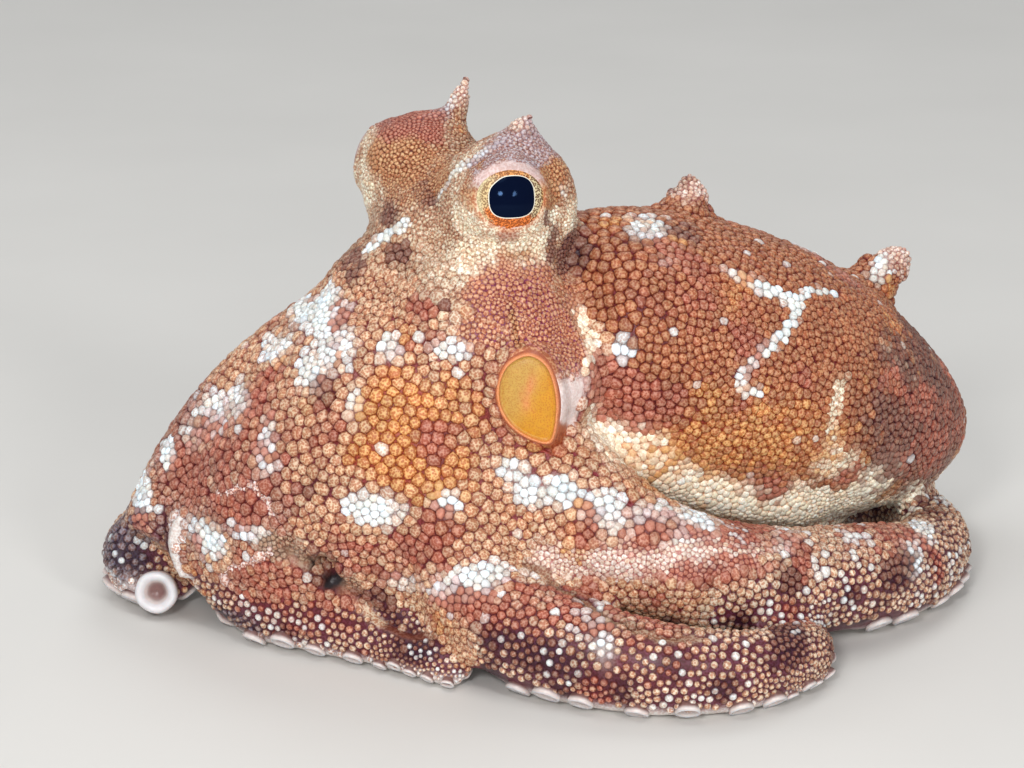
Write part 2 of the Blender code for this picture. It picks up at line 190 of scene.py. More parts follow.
def relaxed(points, mesh, weight, rounds):
    # draws each point towards the middle of its neighbours in the mesh, by its weight
    count = len(points)
    first, second = readAll(mesh.edges, "vertices", 2).T
    degree = np.bincount(first, minlength=count) + np.bincount(second, minlength=count)
    share = (weight / np.maximum(degree, 1))[:, None]
    for _ in range(rounds):
        sums = np.empty_like(points)
        for axis in range(3):
            column = points[:, axis]
            sums[:, axis] = (np.bincount(first, column[second], count)
                             + np.bincount(second, column[first], count))
        points = points * (1 - weight[:, None]) + sums * share
    return points


def meshObject(name, points, faces):
    mesh = bpy.data.meshes.new(name)
    mesh.from_pydata((np.asarray(points) * mm).tolist(), [], faces)
    mesh.update()
    return inScene(name, mesh)


def ringObject(name, rings):
    return meshObject(name, np.vstack(rings), stripFaces(len(rings), len(rings[0])))


def stripFaces(rings, around):
    # quads between rings of equally many points
    faces = []
    for ring in range(rings - 1):
        for i in range(around):
            j = (i + 1) % around
            a, b = ring * around, (ring + 1) * around
            faces.append((a + i, b + i, b + j, a + j))
    return faces


eyeShape = {
    "gaze": {"left": (0.18, -0.94, 0.27), "right": (-0.75, 0.62, 0.2)},
    "irisBeside": 4.4,
    "irisAbove": 3.55,
    "irisBelow": 4.1,
    "pupilWide": 5.7,
    "pupilTall": 5.15,
}

eyes = {}
for side, gaze in eyeShape["gaze"].items():
    low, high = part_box("eye_" + side)
    gaze = unit(gaze)
    across = unit(np.cross((0, 0, 1), gaze))
    eyes[side] = {
        "centre": middleOf("eye_" + side),
        "radius": (high - low).x / 2 / mm,
        "gaze": gaze,
        "across": across,
        "up": np.cross(gaze, across),
    }


def openingAngle(turn):
    # angle off the gaze of the lids' edge
    radius = eyes["left"]["radius"]
    ways = ("Beside", "Above", "Below")
    beside, above, below = (math.asin(eyeShape["iris" + way] / radius) for way in ways)
    tall = np.where(np.sin(turn) > 0, above, below)
    return 1 / np.sqrt((np.cos(turn) / beside) ** 2 + (np.sin(turn) / tall) ** 2)


def lidDistance(side, points):
    # how far outside the lids' edge each point lies, along the ball, its angle round the gaze,
    # and its height over the ball
    eye = eyes[side]
    away = points - eye["centre"]
    reach = np.linalg.norm(away, axis=1)
    x, y, z = away @ eye["across"], away @ eye["up"], away @ eye["gaze"]
    off = np.arccos(np.clip(z / np.maximum(reach, 1e-6), -1, 1))
    turn = np.arctan2(y, x)
    return (off - openingAngle(turn)) * eye["radius"], turn, reach - eye["radius"]


def roundEyes(points):
    return [lidDistance(side, points) for side in eyes]


# the places that folds and markings are set out from
anchors = {
    "eye": eyes["left"]["centre"],
    "farEye": eyes["right"]["centre"],
    "funnel": middleOf("funnel"),
    "web": middleOf("web_and_crown"),
    "mantle": middleOf("mantle"),
    "arm1": middleOf("arm_left_1_inner"),
    "arm2": middleOf("arm_left_2_inner"),
    "arm3": middleOf("arm_left_3_inner"),
    "farArm": middleOf("arm_right_1_inner"),
}


def setOut(anchor, line):
    return anchors[anchor] + np.array(line, float)


# the outline is given in the mouth's own plane, across and up
funnelMouth = {
    "middle": eyes["left"]["centre"] + (2.8, -12.6, -22.3),
    "facing": unit((-0.06, -0.97, 0.1)),
    "outline": [(0.1, 5.2), (2.3, 3.9), (3.35, 1.0), (3.55, -2.0), (2.9, -5.3),
                (0.9, -5.2), (-1.5, -3.8), (-3.1, -1.5), (-3.45, 1.2), (-2.4, 3.9)],
    "hollow": -1.35,  # height of the skin under the membrane
    "rise": (-0.55, 0.35),  # height of the skin at its edge, and how much it rises outside that
}
mouthAcross = unit(np.cross((0, 0, 1), funnelMouth["facing"]))
mouthUp = np.cross(funnelMouth["facing"], mouthAcross)
mouthOutline = flowing(funnelMouth["outline"], 10, closed=True)


def mouthView(points):
    # place in the plane of the funnel's mouth, height over it, and distance outside its outline
    away = points - funnelMouth["middle"]
    flat = np.stack([away @ mouthAcross, away @ mouthUp], axis=1)
    rise = away @ funnelMouth["facing"]
    ring = np.vstack([mouthOutline, mouthOutline[:1]])
    near = (np.abs(flat) < 14).all(axis=1)
    out = np.full(len(points), 20.0)
    if near.any():
        distance, _ = alongLine(flat[near], ring)
        inside = np.zeros(near.sum(), bool)
        x, y = flat[near].T
        for a, b in zip(ring[:-1], ring[1:]):
            crosses = (a[1] > y) != (b[1] > y)
            level = np.where(b[1] == a[1], 1e-9, b[1] - a[1])
            inside ^= crosses & (x < (b[0] - a[0]) * (y - a[1]) / level + a[0])
        out[near] = np.where(inside, -distance, distance)
    return flat, rise, out


skinShape = {
    "bridge": 0.3,  # closes the thin cuts between the nodes
    "voxel": 0.62,
    "rounds": 18,  # of smoothing, by these weights
    "smoothing": 0.5,
    "tipSmoothing": 0.3,
    "inset": 0.45,  # how deep the skin lies in the nodes, for the granules' height
    # the papillae are smoothed and inset less: from and to a distance from the tip, and how much less
    "keptPapillae": (7.0, 3.5, 0.88),
    "proudPapillae": (6.0, 2.0, 0.55),
    "fineRounds": 4,  # of smoothing round the lids and the funnel's mouth
    "wobble": 0.1,
    "headRelief": 0.22,
    "lowest": 0.02,
}

# each papilla's tip, how much it swells, and how far down from the tip
papillae = {
    "leftBrow": (setOut("eye", (3.3, 5.2, 10.5)), -0.2, 3.0),
    "rightBrow": (setOut("farEye", (9.6, -1.1, 12.5)), -0.4, 3.2),
    "mantleTop": (setOut("mantle", (-8.9, 1.2, 24.7)), 0.9, 8.0),
    "mantleBack": (setOut("mantle", (21.6, 12.7, 11.3)), 0.9, 9.5),
    "mantleFar": (setOut("mantle", (0.7, 27.7, 1.2)), 0.7, 8.0),
}

# name: anchor, line, depth, width; a minus depth is a ridge
folds = {
    "behindEye": ("eye", [(6, -3, -0.5), (6.5, -2.5, -2.5), (7, -1.5, -4.5), (6.5, -1, -7)], 0.8, 0.6),
    "neckRidge": ("eye", [(8, 0, 0), (8.5, 0.5, -2.5), (8.5, 2, -5.5), (7.5, 2, -8.5)], -0.4, 0.8),
    "curl": ("web", [
        (-30.5, -10, -8), (-31, -10, -11), (-31.5, -10, -13.5), (-31, -10, -16), (-29.5, -10, -18),
    ], -1.2, 0.95),
    "besideCurl": ("web", [
        (-32, -9, -9), (-33, -9, -11.5), (-33, -8, -14.5), (-32.5, -7.5, -17),
    ], 0.8, 0.6),
    "underFunnel": ("funnel", [(-3, -7.5, -7.5), (-2, -7.5, -5.5), (-0.5, -7, -3.5)], 0.9, 0.8),
    "neckFold": ("mantle", [(-23, -18.5, 23.5), (-23.5, -17.5, 20.5), (-24, -17, 17.5)], 0.5, 0.6),
    "underEye": ("eye", [(-4, -3.5, -3.5), (-1.5, -4.5, -5), (0.5, -4.5, -6)], 0.3, 0.4),
    "cheek": ("eye", [(-5.5, -3, -2), (-4.5, -4.5, -4.5), (-2.5, -5.5, -7)], 0.3, 0.45),
    "aboveFunnel": ("funnel", [(-7, -4.5, 10.5), (-6.5, -5.5, 8), (-6, -6.5, 6)], 0.45, 0.4),
    "mantleRim": ("funnel", [
        (-1, -1, 10), (0.5, -0.5, 7.5), (2, -2, 4.5), (3, -3.5, 1), (3, -3.5, -2), (1, -5, -5.5),
        (-1, -8, -7),
    ], -0.4, 0.6),
    "frontArm": ("arm1", [
        (2, -10, 8.5), (5, -11, 7), (7.5, -12, 6), (10, -12.5, 5), (13.5, -12.5, 2), (18.5, -15, 0),
        (22.5, -17, -1),
    ], 0.9, 0.8),
    "frontWeb": ("arm2", [
        (-5, 4, 8.5), (-2.5, 4, 7.5), (2, 0.5, 5.5), (6, -3.5, 4.5), (11, -7, 3.5), (17, -7, 3),
    ], 0.6, 0.6),
    "pocket": ("arm1", [(7.5, -12, 6.5), (8.5, -12, 6), (10, -12, 5)], 2.3, 2.0),
}

foldLines = {name: setOut(anchor, line) for name, (anchor, line, _, _) in folds.items()}


def claySolid():
    # all flesh nodes grown a little, with the eyes' sockets filled
    clay = bmesh.new()
    for name in fleshNodes:
        part = bmesh.new()
        part.from_mesh(nodes[name].data)
        bmesh.ops.remove_doubles(part, verts=part.verts, dist=1e-6)
        part.normal_update()
        for vertex in part.verts:
            vertex.co += vertex.normal * skinShape["bridge"] * mm
        kept = bpy.data.meshes.new("grown")
        part.to_mesh(kept)
        part.free()
        clay.from_mesh(kept)
        bpy.data.meshes.remove(kept)
    for eye in eyes.values():
        bmesh.ops.create_icosphere(clay, subdivisions=4, radius=eye["radius"] * mm,
                                   matrix=Matrix.Translation(Vector(eye["centre"] * mm)))
    mesh = bpy.data.meshes.new("skin")
    clay.to_mesh(mesh)
    clay.free()
    return inScene("skin", mesh)


def applied(obj):
    graph = bpy.context.evaluated_depsgraph_get()
    mesh = bpy.data.meshes.new_from_object(obj.evaluated_get(graph))
    obj.modifiers.clear()
    obj.data = mesh
    return obj


def onlyLargest(obj):
    chosen(obj)
    bpy.ops.object.mode_set(mode="EDIT")
    bpy.ops.mesh.select_all(action="SELECT")
    bpy.ops.mesh.separate(type="LOOSE")
    bpy.ops.object.mode_set(mode="OBJECT")
    loose = sorted(bpy.context.selected_objects, key=lambda one: -len(one.data.vertices))
    for other in loose[1:]:
        bpy.data.objects.remove(other)
    loose[0].name = "skin"
    return loose[0]


def nodeFinder():
    # names the flesh node nearest to each point
    corners, faces, owners = [], [], []
    for name in fleshNodes:
        mesh = nodes[name].data
        faces += [[len(corners) + corner for corner in polygon.vertices] for polygon in mesh.polygons]
        owners += [name] * len(mesh.polygons)
        corners += [vertex.co.copy() for vertex in mesh.vertices]
    tree = BVHTree.FromPolygons(corners, faces)
    owners = np.array(owners)
    return lambda points: owners[[tree.find_nearest(place)[2] for place in (points * mm).tolist()]]


nodesAt = nodeFinder()


def refined(mesh, near, times):
    # halves the edges of the faces where near(points) is true
    for _ in range(times):
        work = bmesh.new()
        work.from_mesh(mesh)
        work.verts.ensure_lookup_table()
        inside = near(pointsOf(mesh))
        edges = [edge for edge in work.edges if all(inside[end.index] for end in edge.verts)]
        bmesh.ops.subdivide_edges(work, edges=edges, cuts=1, use_grid_fill=True)
        bmesh.ops.triangulate(work, faces=[face for face in work.faces if len(face.verts) > 4])
        work.to_mesh(mesh)
        work.free()


def finePlaces(points):
    # round the lids and the funnel's mouth
    inside = np.zeros(len(points), bool)
    for edge, _, over in roundEyes(points):
        inside |= (edge > -2.5) & (edge < 3.0) & (over < 3)
    _, rise, out = mouthView(points)
    return inside | ((np.abs(out) < 2.2) & (np.abs(rise) < 5))


# the skin's height over the ball, by the distance outside the opening
underLid = [(-0.9, -1.1), (-0.2, -0.6), (0.9, -0.2), (1.4, 0.12), (1.9, 0.26), (2.6, 0.34)]


def sculptEyes(points):
    for side, eye in eyes.items():
        edge, _, over = lidDistance(side, points)
        share = ease(edge, 4.8, 2.3) * ease(over, 4.5, 3)
        reach = np.maximum(over + eye["radius"], 1e-6)
        new = reach + (np.interp(edge, *np.array(underLid).T) - over) * share
        points = eye["centre"] + (points - eye["centre"]) * (new / reach)[:, None]
    return points


def sculptFunnel(points):
    # a hollow for the membrane and a low rise round it
    _, rise, out = mouthView(points)
    edge, more = funnelMouth["rise"]
    level = np.where(out < 0, funnelMouth["hollow"], edge + more * ease(out, 0.2, 1.6))
    shift = (level - rise) * ease(out, 1.8, 0.2) * ease(np.abs(rise), 6, 4)
    return points + shift[:, None] * funnelMouth["facing"]


belly = {
    "line": [
        (-19, -26, -5), (-14.5, -20.5, -10.5), (-8, -17, -15.5), (-1.5, -13.5, -18), (5.5, -8.5, -20),
        (12, -9, -18.5),
    ],
    "reach": 4.5,
    "swell": (0.3, -2.3, -0.3),
}


def sculptPapillae(points, normals):
    knobs = 1 + 0.6 * grain(points, 1.2, 6)
    for tip, swell, reach in papillae.values():
        away = np.linalg.norm(points - tip, axis=1)
        near = ease(away, reach, 0.65 * reach) * ease(away, 0.5, 0.5 * reach)
        points = points + normals * (swell * near * knobs)[:, None]
    return points


def sculptBelly(points, names):
    # the mantle's lower edge swells forwards over the arm
    line = flowing(setOut("mantle", belly["line"]), 5)
    away, share = alongLine(points, line, 3 * belly["reach"])
    ends = ease(share, 0, 0.15) * ease(share, 1, 0.8)
    amount = np.exp(-(away / belly["reach"]) ** 2) * ends * (names == "mantle")
    return points + amount[:, None] * np.array(belly["swell"])


def laidOn(tree, line):
    # a smooth curve through the line's points, drawn onto a surface
    return np.array([tree.find_nearest(place)[0] for place in flowing(line, 5).tolist()])


def sculptFolds(points, normals, tree):
    for name, (_, _, depth, width) in folds.items():
        away, share = alongLine(points, laidOn(tree, foldLines[name]), 3 * width)
        ends = ease(share, 0, 0.12) * ease(share, 1, 0.88)
        points = points - normals * (depth * ends * np.exp(-(away / width) ** 2))[:, None]
    return points


def headLumps(points):
    return grain(points, 2.6, 3) + 0.5 * grain(points, 1.1, 4)


def byPapillae(points, start, end, rough=0):
    # how near the points are to each papilla's tip: 0 beyond start, 1 within end
    far = [np.linalg.norm(points - tip, axis=1) for tip, _, _ in papillae.values()]
    return [ease(away + rough, start, end) for away in far]


def buildSkin():
    skin = claySolid()
    remesh = skin.modifiers.new("clay", "REMESH")
    remesh.mode = "VOXEL"
    remesh.voxel_size = skinShape["voxel"] * mm
    skin = onlyLargest(applied(skin))
    mesh = skin.data
    points = pointsOf(mesh)
    print("clay:", len(points), "points")
    weight = np.full(len(points), skinShape["smoothing"])
    weight[np.char.endswith(nodesAt(points), "_tip")] = skinShape["tipSmoothing"]
    start, end, less = skinShape["keptPapillae"]
    for near in byPapillae(points, start, end):
        weight *= 1 - less * near
    for edge, _, over in roundEyes(points):
        weight[(edge < 0) & (over < 1)] = 0
    points = relaxed(points, mesh, weight, skinShape["rounds"])
    setPoints(mesh, points)
    depth = np.full(len(points), skinShape["inset"] + skinShape["bridge"])
    start, end, less = skinShape["proudPapillae"]
    for near in byPapillae(points, start, end):
        depth *= 1 - less * near
    depth *= ease(points[:, 2], -0.2, 2.5) * 0.7 + 0.3  # less where it would lift off the floor
    setPoints(mesh, points - normalsOf(mesh) * depth[:, None])
    refined(mesh, finePlaces, 2)
    points = pointsOf(mesh)
    points = relaxed(points, mesh, finePlaces(points) * skinShape["smoothing"], skinShape["fineRounds"])
    names = nodesAt(points)
    points = sculptBelly(points, names)
    setPoints(mesh, points)
    points = sculptPapillae(points, normalsOf(mesh))
    setPoints(mesh, points)
    tree = BVHTree.FromPolygons(points.tolist(), [tuple(face.vertices) for face in mesh.polygons])
    points = sculptEyes(sculptFunnel(sculptFolds(points, normalsOf(mesh), tree)))
    setPoints(mesh, points)
    wobble = skinShape["wobble"] * (grain(points, 2.6, 1) + 0.4 * grain(points, 1.1, 2))
    rough = ease(points[:, 2] + 0.25 * points[:, 0], 46, 51) * (names == "head")
    wobble = wobble + skinShape["headRelief"] * rough * headLumps(points)
    for edge, _, _ in roundEyes(points):
        wobble *= ease(edge, 0.5, 3)
    wobble *= ease(mouthView(points)[2], 0.5, 3)
    points = points + normalsOf(mesh) * wobble[:, None]
    points[:, 2] = np.maximum(points[:, 2], skinShape["lowest"])
    setPoints(mesh, points)
    return skin




# darker and lighter colour of each marking: the skin in the furrows, and the granules
palette = {
    "mantle": ((106, 34, 40), (168, 108, 66)),
    "web": ((130, 54, 62), (202, 168, 134)),
    "head": ((146, 102, 86), (182, 156, 128)),
    "arm": ((102, 52, 68), (206, 184, 158)),
    # partly painted shade: a darker brown where the light falls off on the web's lower left and its left
    # edge, over their own browner colour
    "brownAndShade": ((90, 36, 46), (160, 116, 102)),
    "pale": ((176, 168, 164), (226, 242, 247)),
    "cream": ((208, 186, 158), (228, 226, 204)),
    # partly painted light: the pale cream of the mantle's lower band, made lighter still to make up for
    # light that its downward-facing underside does not get
    "rim": ((240, 208, 176), (255, 255, 234)),
    "blush": ((194, 142, 136), (222, 210, 198)),
    "dark": ((58, 24, 42), (114, 68, 56)),
    "dusk": ((58, 42, 60), (100, 92, 108)),
    "glow": ((158, 68, 40), (206, 152, 84)),
    "violet": ((128, 52, 94), (190, 134, 98)),
    "mauve": ((144, 118, 124), (172, 160, 166)),
    "rust": ((104, 48, 36), (184, 138, 92)),
    "red": ((100, 28, 36), (168, 96, 76)),
    "margin": ((200, 190, 190), (220, 216, 212)),
    "olive": ((112, 86, 74), (156, 128, 106)),
    "tube": ((222, 206, 206), (228, 214, 210)),
    "slot": ((168, 92, 56), (168, 92, 56)),
    "lid": ((182, 152, 150), (202, 180, 176)),
    "ember": ((190, 112, 70), (214, 150, 104)),
    "thread": ((190, 150, 146), (232, 218, 214)),
    # painted shadow: near black for the shaded inside of the pocket's hole
    "holeShadow": ((22, 10, 16), (22, 10, 16)),
}

# spots of each kind round each anchor: x, y and z from it, half width, half height, strength
spots = {
    "brownAndShade": {
        # partly painted shade: the two large web patches darken the lower left and the left edge, where
        # less light falls
        "web": [
            (-22, -17, -3.5, 9.5, 8.5, 0.75), (-30.5, -6.5, -2.5, 5, 13, 0.85),
            (-14, -6.5, 13.5, 3, 6, 0.4),
        ],
        "arm1": [(2.5, -10, 5, 8, 4, 0.4)],
    },
    "violet": {
        "eye": [(2, -8, -11, 6, 4.4, 1), (-0.5, -8, -10, 5, 2.6, 0.8)],
        "funnel": [(-3.5, -5, 7.5, 4.4, 4.4, 1), (-1, -5, 5, 3.4, 3.4, 0.9)],
        "web": [(8.5, -22.5, 19.5, 3.2, 2.6, 0.7)],
        "mantle": [(-25, -24.5, 14.5, 2.4, 3, 0.6)],
    },
    "blush": {
        "web": [(18.5, -28.5, -8.5, 4.4, 2.2, 0.8), (25.5, -30.5, -8, 6, 2.4, 1)],
        "arm3": [(-17, -15.5, 7, 5, 2.4, 1), (-10.5, -12, 7.5, 4, 2, 0.8)],
    },
    "olive": {
        "web": [(-17, -22.5, -9.5, 3.4, 1.8, 0.9)],
        "arm1": [(7, -12, 6.5, 2.6, 1.4, 0.9), (12, -12.5, 4.5, 2, 1.2, 0.8)],
    },
    "dusk": {
        "farArm": [(-4.5, -9.5, 0, 4.5, 6.5, 1), (-0.5, -11.5, 4.5, 3.4, 4, 0.6)],
        "arm1": [(-3.5, -3.5, -4.5, 5, 1.6, 0.7)],
    },
    "margin": {
        "farArm": [(-4, -8.5, -5, 5, 2.8, 0.9)],
    },
    "slot": {
        "funnel": [(-1.5, -7.5, -5.5, 1.3, 1.9, 1)],
    },
    "mauve": {
        "eye": [(3, 1, 6.5, 5.4, 2.6, 1), (-0.5, -2, 4.5, 3.6, 2.4, 0.8)],
        "farEye": [(2, 0, 6.5, 5, 2.6, 0.8)],
    },
    "rust": {
        "eye": [
            (-8.5, 6, 2, 2, 2.4, 0.7), (7, 0, 3, 1.9, 2, 0.9), (7.5, -1, 0, 1.2, 1, 0.9),
            (-11.5, 9, -2, 3.4, 2.6, 0.5), (-4.5, -3.5, 0.5, 1.4, 1.4, 0.6),
        ],
        "farEye": [(0.5, -9, 3, 4.8, 3.6, 1)],
    },
    "glow": {
        "web": [
            (-1.5, -25.5, 6, 7, 5.6, 1), (-2, -23.5, 11, 5, 3.4, 0.8), (2, -26.5, 2.5, 5, 4, 0.9),
            (4.5, -24, 9.5, 4.4, 3.6, 0.6),
        ],
        "mantle": [
            (-3.5, -22, -4.5, 11, 5.6, 0.65), (-13, -23, -7, 6, 3.4, 0.5), (7.5, -17, -7.5, 5, 4, 0.4),
        ],
    },
    "red": {
        "web": [
            (1, -19, 21.5, 2.2, 1.4, 0.6), (-6, -25.5, -9.5, 6, 3, 0.6), (-23, -18.5, -5.5, 3.4, 2.6, 0.9),
            (-29.5, -8.5, -3.5, 3.4, 3.6, 0.7), (-21, -16.5, 1.5, 7.4, 7.2, 0.5), (1, -29, -7, 5, 2.4, 0.7),
        ],
        "arm1": [(0.5, -8, 2.5, 6, 4, 0.7), (6, -10, 0, 7, 3.2, 0.6)],
        "mantle": [
            (-16.5, -27, 1.5, 5.4, 3.4, 0.9), (-20.5, -27.5, 4.5, 3, 3.4, 0.9),
            (-10.5, -18, 12.5, 9, 4, 0.3), (23.5, 0, -11.5, 6, 5, 0.6),
        ],
        "arm2": [
            (-10, -1, 4, 6, 1.9, 0.8), (3.5, -2.5, 4.5, 4, 2.4, 0.9), (11, -4, 3, 5, 2.6, 0.7),
            (18, 6, 7, 7, 1.6, 0.8),
        ],
        "arm3": [(-10, -4.5, 7, 5, 2.6, 0.8), (6, 4, 2, 4, 3, 0.6)],
        "eye": [(0.5, -5, -4, 1.6, 1.1, 0.55)],
        "farEye": [
            (2, -5.5, 7, 3.6, 1.7, 0.8), (-1, -4.5, 6, 2.6, 1.6, 0.7), (4.5, -6.5, 6, 2.2, 1.7, 0.8),
        ],
    },
    "cream": {
        "eye": [
            (-4.5, -3.5, -2, 2.6, 2.6, 1), (0.5, -4.5, -5.5, 6.4, 2.6, 1.2), (4, -3.5, -5, 2.8, 3, 0.9),
            (-0.5, -5.5, -7.5, 6, 2.2, 0.85), (-5.5, -5.5, -7, 5, 3.4, 0.5),
            (-10, -0.5, -5.5, 3.4, 2.6, 0.35), (7, -2, -2.5, 1, 2, 0.8), (9, 1.5, -4, 1.4, 3.6, 0.8),
        ],
        "farEye": [(-4, -6.5, 3.5, 1.8, 4, 0.8), (-4.5, -7, -1.5, 1.6, 4.4, 0.8)],
        "web": [(4.5, -21.5, 20, 3, 1.8, 0.4)],
        "arm3": [(3.5, 10, 11, 3, 2.2, 0.9)],
    },
    "pale": {
        "web": [
            (-12, -8.5, 18, 3.2, 2.7, 1), (-15, -2.5, 17, 2.2, 1.6, 0.9),
            (-10.5, -16, 15.5, 2.6, 2.8, 0.85), (-13, -16.5, 12.5, 1.9, 2.3, 0.8),
            (-7.5, -22.5, 10, 1.2, 2.8, 0.85), (-26, -6.5, 3.5, 3, 2.5, 0.9),
            (-22.5, -10, 6.5, 2.6, 1.7, 0.8), (-19, -19, 3, 1.4, 3.1, 0.9),
            (-32.5, -4.5, -2.5, 1.2, 1.8, 1), (-26.5, -15.5, -10.5, 3, 2.4, 0.95),
            (-21, -20.5, -8, 2.8, 1.5, 0.8), (-5, -26.5, -2.5, 3.6, 2.3, 0.95), (4, -28.5, -1, 2.1, 2, 1),
            (12, -24.5, 2, 1.8, 1.5, 0.8), (14.5, -26, -0.5, 2.4, 1.7, 0.9), (18.5, -27, 0, 2.6, 1.8, 1),
            (23, -28.5, -1.5, 2.8, 1.9, 1), (25.5, -29.5, -4, 1.9, 1.7, 0.8), (7, -32.5, -10, 4, 1.9, 1),
            (3, -31.5, -12, 1.8, 1.3, 0.9), (10.5, -32, -8.5, 1.8, 1.3, 0.9),
            (29.5, -27.5, -3.5, 3.2, 1.6, 0.85), (-3, -19.5, 16.5, 1.7, 1.3, 0.8),
            (5, -22.5, 17, 2.6, 1.2, 0.85), (-36, -6, -8.5, 1.1, 3.2, 0.95), (-31.5, -8, 2, 1.6, 2, 0.6),
            (-17.5, -7.5, 12.5, 3, 1.8, 0.6), (-15, -21, -10, 2, 1.2, 0.6),
        ],
        "arm2": [(5, -6, 4, 1.6, 2.4, 1), (5.5, -9, 1, 1.3, 2.4, 0.9)],
        "arm3": [
            (-17, -12, 9, 3.6, 2.5, 0.85), (-5, -5, 5, 2, 1.8, 0.6), (12, 4.5, 0, 1.6, 2.4, 0.9),
            (15.5, 11.5, 3, 1.8, 1.6, 0.8),
        ],
        "mantle": [
            (-19, -26.5, 8.5, 1.5, 1.5, 1), (-15, -14, 21.5, 2.8, 1.4, 0.7),
            (-12, -17, 18.5, 2.6, 1.2, 0.5), (-2.5, -16.5, -9.5, 4, 1.4, 0.25),
        ],
        "arm1": [(10.5, -12.5, 4, 1.4, 0.7, 1), (19.5, -13.5, 5.5, 2.4, 1.2, 0.5)],
        "farEye": [(-1.5, -10, 9, 1.6, 1.2, 0.5)],
    },
    "dark": {
        "farEye": [
            (-1, -14.5, -3, 1.6, 1.6, 0.7), (-5.5, -15.5, -9, 1.5, 1.9, 0.8), (0.5, -7.5, 6.5, 3.6, 1, 0.6),
        ],
        "eye": [
            (-13.5, 2.5, -8, 1.7, 1.3, 0.8), (8, 4.5, -7.5, 2.4, 2.6, 1), (8, 3.5, -9.5, 1.8, 1.6, 0.9),
            (-10, 5, 0, 2, 1.7, 0.9), (6.5, -1, -6.5, 0.8, 1.6, 0.8),
        ],
        # painted shade: the two wide patches at the mantle's far end darken it where less light reaches
        "mantle": [
            (-10.5, -13.5, 20, 2.3, 1.5, 0.7), (22, -4, -7, 10, 11, 0.9), (26.5, 1, -4.5, 6, 14, 1),
        ],
        "web": [
            (-12, -20, 10.5, 1.9, 1.9, 0.7), (-12.5, -24.5, -0.5, 2.2, 1.7, 0.5),
            (-0.5, -29.5, -20, 3, 1.8, 1), (-9.5, -3.5, 22.5, 3.2, 0.8, 0.5),
        ],
        "farArm": [(-4, -11.5, 1, 2.8, 4, 0.9)],
        "arm1": [(15.5, -13, 2.5, 2.8, 1.3, 0.9)],
        "arm2": [
            (-7.5, -4, 1, 4.4, 1.7, 0.8), (-2.5, -6.5, -0.5, 5.4, 2, 0.9), (5, -9.5, -2.5, 4.4, 1.6, 0.8),
            (14.5, 5.5, 0.5, 1.6, 1.3, 0.9), (22.5, 6.5, 1, 1.6, 1.5, 0.9), (29, -2, 0.5, 2.8, 2.4, 1),
            (13.5, -10.5, 0, 2, 1.7, 0.7), (20, -10, -3, 2, 1.5, 0.8),
        ],
        "arm3": [
            (-4.5, -8.5, 2, 1.8, 1.9, 0.9), (10, 1.5, -0.5, 2.6, 2.3, 0.9),
            (3.5, -4.5, -1.5, 1.3, 1.3, 0.8),
        ],
    },
}

